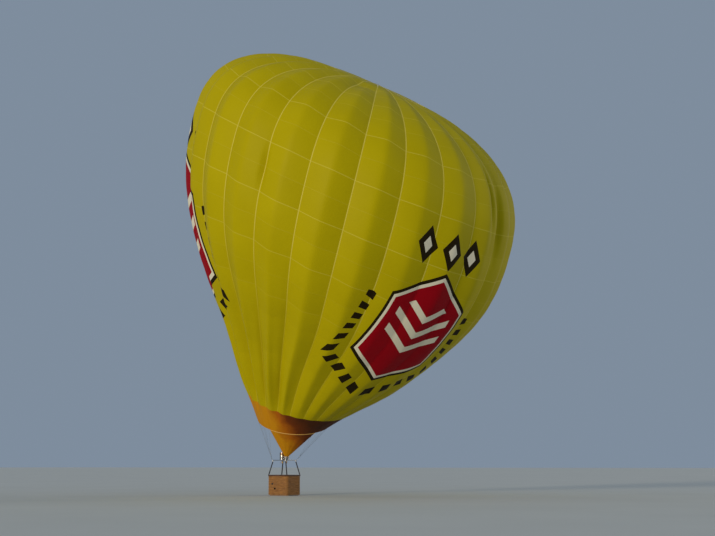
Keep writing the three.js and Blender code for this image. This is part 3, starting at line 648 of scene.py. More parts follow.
def tape_grid(name, number, runs):
    """A tape's cloth along one gore's edge, and its grid of places on the envelope."""
    half = TAPE_WIDTH / 2 / (GORE_ANGLE * radius_at(runs))
    tape = number + np.outer(half, [-1, 0, 1]) + GORES
    run = np.repeat(runs[:, None], 3, axis=1)
    return cloth_grid(name, tape, run), tape, run


for number in range(GORES):
    piece, tape, run = tape_grid(f"load_tape_{number + 1:02d}", number, gore_runs)
    map_print(piece, tape - GORES, run)
    fill_with_air(piece, webbing, TAPE_THICKNESS, 1)
    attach(piece, "envelope_and_basket")

for number in range(1, PANELS):
    middle = BAND_HEIGHT + number * PANEL_HEIGHT
    half = SEAM_WIDTHS[number % 2] / 2
    tape, run = np.meshgrid(np.arange(GORES * COLUMNS) / COLUMNS, [middle - half, middle + half])
    piece = cloth_grid(f"panel_seam_{number:02d}", tape, run, around=True)
    map_print(piece, tape, run, around=True)
    fill_with_air(piece, seam_cloth, SEAM_THICKNESS, 1)
    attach(piece, "envelope_and_basket")


# Mouth band: heat-proof aramid cloth, dyed amber and sewn under the gores' lower edges. Its colour is
# darkened towards the side that the wind leans it to, as painted shade. The same cloth is folded over its
# hem.
HEM_TAPE = 0.055
HEM_EDGE = 0.001
BAND_COLUMNS = 12
BAND_ROWS = 15
BAND_THICKNESS = 0.005
# painted shade: the span along X over which the aramid's colour darkens towards the lee side
PAINTED_SHADE_SPAN = (MOUTH_CENTRE[0] - 0.05, MOUTH_CENTRE[0] + 2.4)
ARAMID_TONES = {0.12: "#c38500", 0.34: "#a85c00", 0.58: "#6d3104", 0.92: "#4a2304"}

# Aramid cloth: dull, a little hairy, uneven where the soot has settled, and darker towards the lee side as
# painted shade
sockets = {"Roughness": 0.72, "Specular IOR Level": 0.2}
aramid, tree, shader = new_material(
    "aramid_cloth_with_painted_shade", sockets, relief=({"Scale": 6.0, "Detail": 6.0}, 0.3, 0.02)
)
place = add_node(tree, "ShaderNodeTexCoord").outputs["Object"]
soot = add_node(tree, "ShaderNodeTexNoise", {"Vector": place, "Scale": 1.1, "Detail": 5.0})
to_lee = add_node(tree, "ShaderNodeSeparateXYZ", {0: place})
# painted shade: the colour darkens along X towards the lee side, which stands in for that side's shade
sockets = {"Value": to_lee.outputs["X"], "From Min": PAINTED_SHADE_SPAN[0], "From Max": PAINTED_SHADE_SPAN[1]}
painted_shade = add_node(tree, "ShaderNodeMapRange", sockets)
uneven = add_node(tree, "ShaderNodeMath", {0: soot.outputs["Fac"], 1: 0.5}, operation="SUBTRACT")
sockets = {0: uneven.outputs[0], 1: 0.5, 2: painted_shade.outputs[0]}
uneven = add_node(tree, "ShaderNodeMath", sockets, operation="MULTIPLY_ADD")
tone = add_node(tree, "ShaderNodeValToRGB", {"Fac": uneven.outputs[0]}, ARAMID_TONES)
tree.links.new(tone.outputs["Color"], shader.inputs["Base Color"])


def joined(name, pieces):
    """One piece from several."""
    build = bmesh.new()
    slots = []
    for piece in pieces:
        start = len(build.faces)
        build.from_mesh(piece.data)
        build.faces.ensure_lookup_table()
        material = piece.data.materials[0]
        if material not in slots:
            slots.append(material)
        for i in range(start, len(build.faces)):
            build.faces[i].material_index = slots.index(material)
        old = piece.data
        bpy.data.objects.remove(piece)
        bpy.data.meshes.remove(old)
    made = new_piece(name)
    build.to_mesh(made.data)
    build.free()
    for material in slots:
        made.data.materials.append(material)
    return made


band_places = np.arange(GORES * BAND_COLUMNS) / BAND_COLUMNS
tape, run = np.meshgrid(band_places, np.linspace(0, BAND_HEIGHT, BAND_ROWS))
band = cloth_grid("heat_proof_band", tape, run, around=True)
fill_with_air(band, aramid, BAND_THICKNESS, -1)
low_runs = np.linspace(HEM_TAPE, BAND_HEIGHT, BAND_ROWS)
low_tapes = []
for number in range(GORES):
    piece, tape, run = tape_grid(f"band_tape_{number + 1:02d}", number, low_runs)
    low_tapes.append(fill_with_air(piece, aramid, TAPE_THICKNESS, 1))
low_tapes = joined("band_tapes", low_tapes)
tape, run = np.meshgrid(band_places, [HEM_EDGE, HEM_TAPE])
hem = cloth_grid("mouth_hem_tape", tape, run, around=True)
fill_with_air(hem, aramid, SEAM_THICKNESS, 1)
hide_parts("mouth_band")
for piece in (band, low_tapes, hem):
    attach(piece, "envelope_and_basket")


# Crown: an aluminium ring, and a polyester webbing strap from it over the open vent to the end of each load
# tape. The straps are looped round the ring and sewn, so that it gathers the load of all the tapes.
CROWN_RING = 0.15
CROWN_BAR = 0.012
CROWN_RISE = 0.009
CROWN_STEPS = 64
STRAP = Sizes(width=0.05, thickness=0.005, lap=0.02, bend=0.3, steps=24, widest=0.45)
BODY_UP = np.array([math.sin(BODY_TILT), 0, math.cos(BODY_TILT)])
BODY_ACROSS = np.array([math.cos(BODY_TILT), 0, -math.sin(BODY_TILT)])


def round_along(tree, edges, sides, radius):
    """The nodes that turn edges into a smooth round tube with closed ends."""
    path = add_node(tree, "GeometryNodeMeshToCurve", {"Mesh": edges})
    section = add_node(tree, "GeometryNodeCurvePrimitiveCircle", {"Resolution": sides, "Radius": radius})
    sockets = {"Curve": path.outputs[0], "Profile Curve": section.outputs[0], "Fill Caps": True}
    tube = add_node(tree, "GeometryNodeCurveToMesh", sockets)
    return add_node(tree, "GeometryNodeSetShadeSmooth", {"Geometry": tube.outputs[0]}).outputs[0]


tube_along_edges, given = new_tree(
    "tube_along_edges", {"Radius": "Float", "Sides": "Int", "Surface": "Material"}
)
rounded = round_along(tube_along_edges, given["Geometry"], given["Sides"], given["Radius"])
end_tree(tube_along_edges, rounded, given["Surface"])


def tube(name, paths, radius, material, sides=12, closed=False):
    """A round tube along each path of points."""
    points, edges = [], []
    for path in paths:
        first = len(points)
        points += list(path)
        count = len(path)
        edges += [(first + i, first + (i + 1) % count) for i in range(count if closed else count - 1)]
    piece = new_piece(name, points, edges)
    give_inputs(piece, tube_along_edges, {"Radius": radius, "Sides": sides, "Surface": material})
    return settle(piece)


def streaked_metal(name, colour, noise, least, most):
    """A bare metal, its roughness running between two values along fine streaks."""
    material, tree, shader = new_material(name, {"Base Color": linear(colour), "Metallic": 1.0})
    place = add_node(tree, "ShaderNodeTexCoord").outputs["Object"]
    streaks = add_node(tree, "ShaderNodeTexNoise", {"Vector": place, **noise})
    sockets = {"Value": streaks.outputs["Fac"], "To Min": least, "To Max": most}
    dull = add_node(tree, "ShaderNodeMapRange", sockets)
    tree.links.new(dull.outputs[0], shader.inputs["Roughness"])
    return material


# Anodised aluminium: satin, with the faint streaks of drawn bar
alloy = streaked_metal("satin_anodised_aluminium", "#c4c6c8", {"Scale": 40.0, "Detail": 4.0}, 0.3, 0.48)

# Undyed polyester tape: cream, matt and finely ribbed across
plain_tape = new_material(
    "undyed_polyester_tape",
    {"Base Color": linear("#cfc9a6"), "Roughness": 0.65},
    relief=({"Scale": 260.0, "Detail": 1.0}, 0.3, 0.002),
)[0]

turn = np.linspace(0, 2 * math.pi, CROWN_STEPS, endpoint=False)[:, None]
ring_centre = envelope_point(0, RUNS[-1]) + BODY_UP * CROWN_RISE
ring_path = ring_centre + CROWN_RING * (np.cos(turn) * BODY_ACROSS + np.sin(turn) * np.array([0, 1, 0]))
ring = tube("crown_ring_bar", [ring_path], CROWN_BAR, alloy, closed=True)
strap_radii = np.concatenate(
    [
        np.linspace(VENT_RADIUS + STRAP.lap, STRAP.bend, STRAP.steps),
        [CROWN_RING + STRAP.lap, CROWN_RING - CROWN_BAR],
    ]
)
strap_runs = run_at(strap_radii)
half = np.minimum(STRAP.width / 2 / (GORE_ANGLE * strap_radii), STRAP.widest)
straps = []
for number in range(GORES):
    tape = number + np.outer(half, [-1, 0, 1])
    points = envelope_point(tape, np.repeat(strap_runs[:, None], 3, axis=1))
    strap = smooth_piece(f"crown_strap_{number}", points, sheet_faces(len(strap_runs), 3), plain_tape)
    straps.append(thicken(strap, STRAP.thickness, -1))
crown = joined("crown_ring_and_straps", [*straps, ring])
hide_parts("crown_ring")
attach(crown, "envelope_and_basket")


# Parachute valve: a round panel of the same cloth, pressed up by the hot air under the vent's edge and
# the straps. It bulges up between them.
VENT_PANEL = Sizes(overlap=0.25, below=0.0103, pole=0.12, columns=8, rows=30)
PANEL_BULGE = Sizes(height=0.02, edge_fade=0.4, flat_middle=0.2, middle_fade=1.2)
CLEAR_OF_PRINTS = 40.0  # so far from the prints on their map that none falls on the valve

reach = VENT_RADIUS + VENT_PANEL.overlap
columns = GORES * VENT_PANEL.columns
radii = np.linspace(reach, VENT_PANEL.pole, VENT_PANEL.rows)
tape, radius = np.meshgrid(np.arange(columns) / VENT_PANEL.columns, radii)
run = run_at(radius)
place = (tape - np.floor(tape)) * 2 - 1
bulge = PANEL_BULGE.height * (1 - place * place) * smooth(VENT_RADIUS - radius, 0, PANEL_BULGE.edge_fade)
bulge = bulge * smooth(radius, PANEL_BULGE.flat_middle, PANEL_BULGE.middle_fade)
lift = (bulge - VENT_PANEL.below)[..., None]
points = envelope_point(tape, run) + envelope_normal(tape, run) * lift
faces = sheet_faces(*tape.shape, True)
last = (VENT_PANEL.rows - 1) * columns
faces += [(last + j, last + (j + 1) % columns, last + columns) for j in range(columns)]
points = np.vstack([points.reshape(-1, 3), points[-1].mean(axis=0)])
valve = smooth_piece("parachute_valve_cloth", points, faces, cloth)
corner = np.zeros(len(valve.data.loops), np.int32)
valve.data.loops.foreach_get("vertex_index", corner)
u = np.append(np.cos(tape * GORE_ANGLE) * radius, 0)[corner]
v = np.append(np.sin(tape * GORE_ANGLE) * radius, 0)[corner]
store_map(valve.data, "print", u + CLEAR_OF_PRINTS, v + CLEAR_OF_PRINTS)
store_map(valve.data, "cut", u / CLEAR_OF_PRINTS, v / CLEAR_OF_PRINTS)
thicken(valve, CLOTH_SHOWN, -1)
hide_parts("parachute_valve")
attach(valve, "vent")


# Skids: three hardwood runners with rounded ends, bolted under the floor. They and all that stands on them
# are set out in the basket's own frame: its long side along X, its underside's middle at zero.
YAW = math.radians(-7.5)
BASKET_TURN = np.array([[math.cos(YAW), -math.sin(YAW), 0], [math.sin(YAW), math.cos(YAW), 0], [0, 0, 1]])
BASKET_FOOT = np.array([-4.0, 0.0, GROUND])
SKID = Sizes(length=1.38, width=0.07, height=0.04, pitch=0.4, corner=0.02, bevel=0.004, grain=0.01)
GAP = 0.0003  # between a piece and its seat
SHARP = math.radians(35)


def in_place(points):
    """Points of the basket's own frame, in the part's frame."""
    return np.asarray(points, float) @ BASKET_TURN.T + BASKET_FOOT


def moved(piece, turn=BASKET_TURN, shift=BASKET_FOOT):
    """Turns and shifts a piece's mesh, out of the basket's own frame unless it is told another."""
    mesh = piece.data
    points = np.zeros(len(mesh.vertices) * 3, np.float32)
    mesh.vertices.foreach_get("co", points)
    points = points.reshape(-1, 3).astype(float) @ turn.T + shift
    mesh.vertices.foreach_set("co", points.astype(np.float32).ravel())
    mesh.update()
    return piece


def rounded_outline(length, width, corner, spacing):
    """A level rectangle with rounded corners as points about spacing apart, anticlockwise."""
    x, y = length / 2 - corner, width / 2 - corner
    steps = max(3, round(corner * math.pi / 2 / spacing))
    ways = ((1, 1, (-1, 0)), (-1, 1, (0, -1)), (-1, -1, (1, 0)), (1, -1, (0, 1)))
    points = []
    for start, (sx, sy, ahead) in enumerate(ways):
        turn = (start + np.arange(steps + 1) / steps) * math.pi / 2
        points += [(sx * x + corner * c, sy * y + corner * d) for c, d in zip(np.cos(turn), np.sin(turn))]
        side = 2 * y if start % 2 else 2 * x
        after = np.array(points[-1])
        more = max(1, round(side / spacing))
        points += [tuple(after + np.array(ahead) * side * k / more) for k in range(1, more)]
    return np.array(points)


def extruded(name, outline, low, high, material, bevel, holes=()):
    """A level plate of an outline with holes, between two heights, with its edges broken by a bevel."""
    build = bmesh.new()
    edges = []
    for loop in [outline, *holes]:
        ring = [build.verts.new((*point, low)) for point in loop]
        edges += [build.edges.new((ring[i], ring[(i + 1) % len(ring)])) for i in range(len(ring))]
    made = bmesh.ops.triangle_fill(build, use_beauty=True, edges=edges)
    sheet = [face for face in made["geom"] if isinstance(face, bmesh.types.BMFace)]
    raised = bmesh.ops.extrude_face_region(build, geom=sheet)
    lifted = [vertex for vertex in raised["geom"] if isinstance(vertex, bmesh.types.BMVert)]
    bmesh.ops.translate(build, verts=lifted, vec=(0, 0, high - low))
    bmesh.ops.recalc_face_normals(build, faces=build.faces)
    piece = new_piece(name)
    build.to_mesh(piece.data)
    build.free()
    piece.data.materials.append(material)
    piece.data.shade_smooth()
    soften = piece.modifiers.new("edges", "BEVEL")
    soften.width = bevel
    soften.segments = 2
    soften.limit_method = "ANGLE"
    settle(piece)
    piece.data.set_sharp_from_angle(angle=SHARP)
    return piece


# Oiled ash: warm brown, with its grain drawn out along the runner
hardwood = new_material(
    "oiled_ash_wood",
    {"Roughness": 0.55},
    ({"Scale": 3.0, "Detail": 6.0, "Distortion": 0.6}, {0.3: "#7d5630", 0.7: "#b98b55"}, (1.2, 22.0, 22.0)),
    (None, 0.25, 0.002),
)[0]

for number in range(3):
    outline = rounded_outline(SKID.length, SKID.width, SKID.corner, SKID.grain)
    skid = extruded(f"runner_{number + 1}", outline, 0.0, SKID.height, hardwood, SKID.bevel)
    moved(skid, shift=in_place([0, (number - 1) * SKID.pitch, 0]))
    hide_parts(f"skid_{number + 1}")
    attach(skid, "envelope_and_basket")


# Floor: a sheet of birch plywood, screwed to the runners. Its plies show at the edge, and a row of drilled
# holes along each side drains it.
BASKET = Sizes(length=1.5, width=1.15, corner=0.15, wall=0.025)
FLOOR_LOW = SKID.height + GAP
FLOOR_THICK = 0.02
FLOOR_BEVEL = 0.0015
FLOOR_GRAIN = 0.03
PLIES = 9
DRAIN = Sizes(radius=0.009, pitch=0.2, row=0.49, sides=16)


def circle(radius, middle, count):
    turn = np.arange(count) * 2 * math.pi / count
    return np.stack([middle[0] + radius * np.cos(turn), middle[1] + radius * np.sin(turn)], 1)


# Birch plywood: pale and satin on its faces, with thin dark glue lines round its edge
plywood, tree, shader = new_material(
    "birch_plywood",
    {"Roughness": 0.5},
    ({"Scale": 3.0, "Detail": 5.0, "Distortion": 1.0}, {0.0: "#9b7446", 1.0: "#c9a272"}, (1.5, 14.0, 4.0)),
)
grain = shader.inputs["Base Color"].links[0].from_socket
place = add_node(tree, "ShaderNodeTexCoord").outputs["Object"]
facing = add_node(tree, "ShaderNodeNewGeometry").outputs["Normal"]
known = {
    "height": add_node(tree, "ShaderNodeSeparateXYZ", {0: place}).outputs[2],
    "upward": add_node(tree, "ShaderNodeSeparateXYZ", {0: facing}).outputs[2],
}
for name, operation, *terms in (
    ("plies", "MULTIPLY", "height", PLIES / FLOOR_THICK / 2),
    ("in pair", "FRACT", "plies"),
    ("dark ply", "GREATER_THAN", "in pair", 0.5),
    ("level", "ABSOLUTE", "upward"),
    ("edge", "LESS_THAN", "level", 0.5),
    ("edge ply", "MULTIPLY", "edge", "dark ply"),
):
    sockets = {i: known.get(term, term) for i, term in enumerate(terms)}
    known[name] = add_node(tree, "ShaderNodeMath", sockets, operation=operation).outputs[0]
sockets = {"Factor": known["edge ply"], 6: grain, 7: linear("#5d3c20")}
shade = add_node(tree, "ShaderNodeMix", sockets, data_type="RGBA")
tree.links.new(shade.outputs[2], shader.inputs["Base Color"])

outline = rounded_outline(BASKET.length, BASKET.width, BASKET.corner, FLOOR_GRAIN)
drains = [
    circle(DRAIN.radius, (x * DRAIN.pitch, side * DRAIN.row), DRAIN.sides)
    for x in range(-3, 4)
    for side in (-1, 1)
]
floor = extruded("plywood_floor", outline, FLOOR_LOW, FLOOR_LOW + FLOOR_THICK, plywood, FLOOR_BEVEL, drains)
moved(floor)
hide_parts("basket_floor")
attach(floor, "envelope_and_basket")


# Woven wall: rattan stakes stand on the floor and willow strands pass in front of one and behind the next,
# row on row. A rolled border closes it at the top, and two foot steps are left open in each long side.
WALL_LOW = FLOOR_LOW + FLOOR_THICK + GAP
WALL_TOP = 1.06
MID_WALL = BASKET.wall / 2
WALL_GRAIN = 0.004
STAKE = Sizes(pitch=0.055, radius=0.0045, below_top=0.012, levels=60)
STRAND = Sizes(radius=0.0078, sides=5, row=0.0146, below_top=0.02, per_stake=3)
WEAVE = Sizes(depth=0.0036, unevenness=0.0008, seed=7)
BORDER = Sizes(canes=3, turn=2 / 3, reach=0.0085, below_top=0.0175, per_stake=4)
STEPS = Sizes(width=0.17, height=0.11, corner=0.02, edge=0.0115, grain=0.012)
STEP_PLACES = ((0.18, 0.38), (0.38, 0.64))


def weave_tree():
    """Passes strands in front of one stake and behind the next, and makes them round."""
    inputs = {
        "Weave Depth": "Float",
        "Strand Radius": "Float",
        "Sides": "Int",
        "Unevenness": "Float",
        "Seed": "Int",
        "Willow": "Material",
    }
    tree, given = new_tree("strands_through_stakes", inputs)
    stake = add_node(tree, "GeometryNodeInputNamedAttribute", {"Name": "stake"}, data_type="FLOAT")
    outward = add_node(
        tree, "GeometryNodeInputNamedAttribute", {"Name": "outward"}, data_type="FLOAT_VECTOR"
    )
    turn = add_node(tree, "ShaderNodeMath", {0: stake.outputs[0], 1: math.pi}, operation="MULTIPLY")
    wave = add_node(tree, "ShaderNodeMath", {0: turn.outputs[0]}, operation="COSINE")
    sockets = {0: wave.outputs[0], 1: given["Weave Depth"]}
    depth = add_node(tree, "ShaderNodeMath", sockets, operation="MULTIPLY")
    least = add_node(tree, "ShaderNodeMath", {0: given["Unevenness"], 1: -1.0}, operation="MULTIPLY")
    sockets = {2: least.outputs[0], 3: given["Unevenness"], "Seed": given["Seed"]}
    wobble = add_node(tree, "FunctionNodeRandomValue", sockets, data_type="FLOAT")
    rise = add_node(tree, "ShaderNodeCombineXYZ", {2: wobble.outputs[1]})
    sockets = {0: outward.outputs[0], "Scale": depth.outputs[0]}
    push = add_node(tree, "ShaderNodeVectorMath", sockets, operation="SCALE")
    sockets = {0: push.outputs[0], 1: rise.outputs[0]}
    shift = add_node(tree, "ShaderNodeVectorMath", sockets, operation="ADD")
    sockets = {"Geometry": given["Geometry"], "Offset": shift.outputs[0]}
    woven = add_node(tree, "GeometryNodeSetPosition", sockets)
    strands = round_along(tree, woven.outputs[0], given["Sides"], given["Strand Radius"])
    return end_tree(tree, strands, given["Willow"])


# Willow and rattan: peeled, varnished and weathered, honey brown with darker rods among them
willow = new_material(
    "varnished_willow",
    {"Roughness": 0.5, "Coat Weight": 0.15},
    ({"Scale": 1.0, "Detail": 2.0}, {0.32: "#7a4d22", 0.68: "#bd8a4a"}, (3.0, 3.0, 68.0)),
    ({"Scale": 90.0, "Detail": 3.0}, 0.3, 0.002),
)[0]

ring_line = rounded_outline(
    BASKET.length - 2 * MID_WALL, BASKET.width - 2 * MID_WALL, BASKET.corner - MID_WALL, WALL_GRAIN
)
closed_line = np.vstack([ring_line, ring_line[:1]])
ring_run = np.concatenate([[0], np.cumsum(np.hypot(*np.diff(closed_line, axis=0).T))])
STAKES = 2 * round(ring_run[-1] / STAKE.pitch / 2)


def on_wall(stake):
    """Middle of the wall at a stake's number, or between two, and the way out there."""
    at = np.asarray(stake) % STAKES / STAKES * ring_run[-1]
    point, ahead, behind = [
        np.stack([np.interp(where, ring_run, closed_line[:, k]) for k in (0, 1)], -1)
        for where in (at, (at + WALL_GRAIN) % ring_run[-1], (at - WALL_GRAIN) % ring_run[-1])
    ]
    along = (ahead - behind) / np.linalg.norm(ahead - behind, axis=-1, keepdims=True)
    return point, np.stack([along[..., 1], -along[..., 0]], -1)


def clear_of_steps(x, y, z):
    """Whether a place on the wall is outside every foot step."""
    x, y, z = np.broadcast_arrays(x, y, z)
    clear = np.ones(x.shape, bool)
    for step_x, step_z in STEP_PLACES:
        for side in (-1, 1):
            inside = np.abs(x - side * step_x) < STEPS.width / 2
            inside &= np.abs(z - step_z) < STEPS.height / 2
            inside &= y * side > 0
            clear &= ~inside
    return clear


points, edges, stake_numbers, ways_out = [], [], [], []
stake = np.arange(STAKES * STRAND.per_stake) / STRAND.per_stake
place, out = on_wall(stake)
count = len(stake)
for row in range(int((WALL_TOP - WALL_LOW - STRAND.below_top) / STRAND.row)):
    z = WALL_LOW + STRAND.radius + row * STRAND.row
    kept = clear_of_steps(place[:, 0], place[:, 1], z)
    first = len(points)
    points += [(x, y, z) for x, y in place]
    stake_numbers += list(stake + row % 2)
    ways_out += [(x, y, 0) for x, y in out]
    pairs = [(i, (i + 1) % count) for i in range(count)]
    edges += [(first + i, first + k) for i, k in pairs if kept[i] and kept[k]]
used = sorted({end for edge in edges for end in edge})
renumbered = {old: new for new, old in enumerate(used)}
edges = [(renumbered[a], renumbered[b]) for a, b in edges]
strands = new_piece("woven_strands", [points[i] for i in used], edges)
store(strands.data, "stake", [stake_numbers[i] for i in used])
store(strands.data, "outward", [ways_out[i] for i in used])
weave = {
    "Weave Depth": WEAVE.depth + STAKE.radius,
    "Strand Radius": STRAND.radius,
    "Sides": STRAND.sides,
    "Unevenness": WEAVE.unevenness,
    "Seed": WEAVE.seed,
    "Willow": willow,
}
give_inputs(strands, weave_tree(), weave)
settle(strands)

stake_lines = []
levels = np.linspace(WALL_LOW, WALL_TOP - STAKE.below_top, STAKE.levels)
for x, y in on_wall(np.arange(STAKES))[0]:
    kept = clear_of_steps(x, y, levels)
    breaks = np.flatnonzero(np.diff(kept.astype(int))) + 1
    for part, part_kept in zip(np.split(levels, breaks), np.split(kept, breaks)):
        if part_kept[0]:
            stake_lines.append([(x, y, part[0]), (x, y, part[-1])])
stakes = tube("rattan_stakes", stake_lines, STAKE.radius, willow, sides=6)

border_turns = np.arange(STAKES * BORDER.per_stake) / BORDER.per_stake
place, out = on_wall(border_turns)
canes = []
for phase in range(BORDER.canes):
    swing = border_turns * math.pi * BORDER.turn + phase * math.pi * BORDER.turn
    reach = BORDER.reach * np.cos(swing)
    rise = WALL_TOP - BORDER.below_top + BORDER.reach * np.sin(swing)
    canes.append(np.column_stack([place + out * reach[:, None], rise]))
border = tube("rolled_border", canes, STRAND.radius, willow, sides=6, closed=True)

step_edges = []
for step_x, step_z in STEP_PLACES:
    for side in (-1, 1):
        edge = rounded_outline(STEPS.width, STEPS.height, STEPS.corner, STEPS.grain)
        y = side * (BASKET.width / 2 - MID_WALL)
        step_edges.append([(side * step_x + x, y, step_z + z) for x, z in edge])
step_edges = tube("foot_step_borders", step_edges, STEPS.edge, willow, sides=8, closed=True)
wall = joined("woven_wall", [strands, stakes, border, step_edges])
moved(wall)
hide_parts("basket_wall")
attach(wall, "envelope_and_basket")


# Rim: a roll of foam over the border, which spares hands and knees. It is covered in brown suede, laced on
# round the wall's top with a leather thong.
RIM_RADIUS = 0.045
RIM_MIDDLE = WALL_TOP + GAP + RIM_RADIUS * math.cos(math.pi / 8)
RIM_TOP = RIM_MIDDLE + RIM_RADIUS * math.cos(math.pi / 8)
RIM_SKIN = 0.0035  # how far the round cover lies inside the solid's corners
RIM_GRAIN = 0.014
THONG = Sizes(pitch=0.04, radius=0.0028, sunk=0.0025, low=-0.55 * math.pi, rise=0.34 * math.pi, per_stake=4)

# Suede: brown, soft and dull, paler where hands have brushed it, with small wrinkles
suede = new_material(
    "brown_suede",
    {"Roughness": 0.85, "Sheen Weight": 0.35, "Sheen Roughness": 0.4},
    ({"Scale": 7.0, "Detail": 5.0}, {0.35: "#3a2216", 0.65: "#5d3b27"}),
    ({"Scale": 38.0, "Detail": 4.0}, 0.4, 0.004),
)[0]

# Leather thong: tan, plain and a little waxy
thong_leather = new_material("tan_leather_thong", {"Base Color": linear("#8a5c34"), "Roughness": 0.6})[0]

rim_line = rounded_outline(
    BASKET.length - BASKET.wall, BASKET.width - BASKET.wall, BASKET.corner - MID_WALL, RIM_GRAIN
)
rim_path = [(x, y, RIM_MIDDLE) for x, y in rim_line]
rim = tube("suede_rim", [rim_path], RIM_RADIUS - RIM_SKIN, suede, sides=24, closed=True)
turns = np.arange(STAKES * THONG.per_stake) / THONG.per_stake
place, out = on_wall(turns)
swing = turns * STAKE.pitch / THONG.pitch * 2 * math.pi
swing = swing * round(swing[-1] / 2 / math.pi) / (swing[-1] / 2 / math.pi)
zigzag = THONG.low + THONG.rise * np.abs((swing / math.pi) % 2 - 1)
reach = RIM_RADIUS - THONG.sunk
thong_path = place + out * (reach * np.cos(zigzag))[:, None]
thong_path = np.column_stack([thong_path, RIM_MIDDLE + reach * np.sin(zigzag)])
thong = tube("rim_thong", [thong_path], THONG.radius, thong_leather, sides=6, closed=True)
for piece in (rim, thong):
    moved(piece)
    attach(piece, "envelope_and_basket")
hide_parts("basket_rim")


# Fuel cylinders: welded stainless cylinders with a rolled collar round the valve, one in each corner of the
# basket. Two straps hold each against the wall.
BASKET_SIDES = [(1, -1), (1, 1), (-1, 1), (-1, -1)]
CYLINDER = Sizes(radius=0.15, height=0.86, shoulder=0.07, foot=0.02, foot_rise=0.025, stand_off=0.01)
SHOULDER_STEPS = 9
COLLAR = Sizes(radius=0.104, wall=0.008, depth=0.12, valve_radius=0.026, valve_drop=0.035)
OUTLET_RISE = 0.045
BELT_LEVELS = (0.24, 0.56)
BELT_HALF_TURN = math.radians(112)
BELT = Sizes(half_width=0.02, thickness=0.0024, off_wall=0.004, off_tank=0.0006, tail=0.75, steps=40)
BUCKLE = Sizes(length=0.05, width=0.052, corner=0.006, bar=0.0025, off_tank=0.0045)


def unit(vector):
    return np.asarray(vector, float) / np.linalg.norm(vector)


def face_outwards(piece):
    """Turns all faces outwards and keeps the sharp edges crisp."""
    build = bmesh.new()
    build.from_mesh(piece.data)
    bmesh.ops.recalc_face_normals(build, faces=build.faces)
    build.to_mesh(piece.data)
    build.free()
    piece.data.set_sharp_from_angle(angle=SHARP)
    return piece


def turned(name, profile, middle, axis, material, sides=32):
    """A closed solid of revolution. profile gives radii and places along the axis, and runs on from its last
    to its first point where it starts off the axis."""
    axis = unit(axis)
    side = unit(np.cross(axis, [0.0, 0.0, 1.0]) if abs(axis[2]) < 0.9 else np.cross([0.0, 1.0, 0.0], axis))
    other = np.cross(axis, side)
    angle = np.arange(sides) * 2 * math.pi / sides
    spokes = np.cos(angle)[:, None] * side + np.sin(angle)[:, None] * other
    points, rings = [], []
    for radius, along in profile:
        start = len(points)
        if radius < 1e-9:
            points.append(np.asarray(middle) + axis * along)
            rings.append([start] * sides)
        else:
            points += list(np.asarray(middle) + axis * along + spokes * radius)
            rings.append(list(range(start, start + sides)))
    if profile[0][0] > 1e-9:
        rings.append(rings[0])
    faces = []
    for low, high in zip(rings, rings[1:]):
        for j in range(sides):
            k = (j + 1) % sides
            corners = [low[j], low[k], high[k], high[j]]
            faces.append([c for i, c in enumerate(corners) if c != corners[i - 1]])
    return face_outwards(smooth_piece(name, points, faces, material))


# Stainless steel, brushed along the tube: bright with a fine uneven gloss
steel = streaked_metal("brushed_stainless_steel", "#b3b4b4", {"Scale": 70.0, "Detail": 3.0}, 0.2, 0.38)

# Forged brass: yellow and satin, as it comes from the tumbler
sockets = {"Base Color": linear("#b08a4a"), "Metallic": 1.0, "Roughness": 0.35}
brass = new_material("forged_brass", sockets)[0]

# Moulded nylon knob: signal red with a slight gloss
knob_red = new_material("red_moulded_knob", {"Base Color": linear("#9c1512"), "Roughness": 0.45})[0]

# Nylon strap: black and matt, with fine woven ribs
strap_black = new_material(
    "black_nylon_strap",
    {"Base Color": linear("#1c1c1e"), "Roughness": 0.7},
    relief=({"Scale": 400.0}, 0.4, 0.001),
)[0]

wide, tall, inner = CYLINDER.radius, CYLINDER.height, COLLAR.radius - COLLAR.wall
collar_foot = tall - COLLAR.depth
shoulder_foot = collar_foot - CYLINDER.shoulder
shoulder_turn = math.acos(1 - (wide - COLLAR.radius) / CYLINDER.shoulder)
valve_top = tall - COLLAR.valve_drop
cylinder_profile = [
    (0, 0.004),
    (wide - CYLINDER.foot - 0.008, 0),
    (wide - CYLINDER.foot, 0.001),
    (wide - 0.003, CYLINDER.foot_rise - 0.005),
    (wide, CYLINDER.foot_rise),
    (wide, shoulder_foot - 0.012),
    (wide - 0.001, shoulder_foot - 0.009),
    (wide, shoulder_foot - 0.006),
]
for turn in np.linspace(0, 1, SHOULDER_STEPS) * shoulder_turn:
    in_from_side = CYLINDER.shoulder * (1 - math.cos(turn))
    cylinder_profile.append((wide - in_from_side, shoulder_foot + CYLINDER.shoulder * math.sin(turn)))
cylinder_profile += [
    (COLLAR.radius, tall - 0.006),
    (COLLAR.radius - 0.001, tall - 0.001),
    (COLLAR.radius - 0.004, tall),
    (inner + 0.001, tall - 0.001),
    (inner, tall - 0.006),
    (inner, collar_foot),
    (COLLAR.valve_radius + 0.004, collar_foot + 0.004),
    (COLLAR.valve_radius, collar_foot + 0.01),
    (COLLAR.valve_radius, valve_top - 0.03),
    (0, valve_top - 0.03),
]
wheel_profile = [
    (0, valve_top - 0.03),
    (0.007, valve_top - 0.03),
    (0.007, valve_top - 0.018),
    (0.022, valve_top - 0.017),
    (0.025, valve_top - 0.012),
    (0.025, valve_top - 0.005),
    (0.021, valve_top),
    (0, valve_top),
]
OUTLET = [(0, 0.02), (0.011, 0.02), (0.011, 0.05), (0.014, 0.052), (0.014, 0.066), (0, 0.066)]
BLEED = [(0, 0.02), (0.008, 0.02), (0.008, 0.045), (0.011, 0.047), (0.011, 0.056), (0, 0.056)]

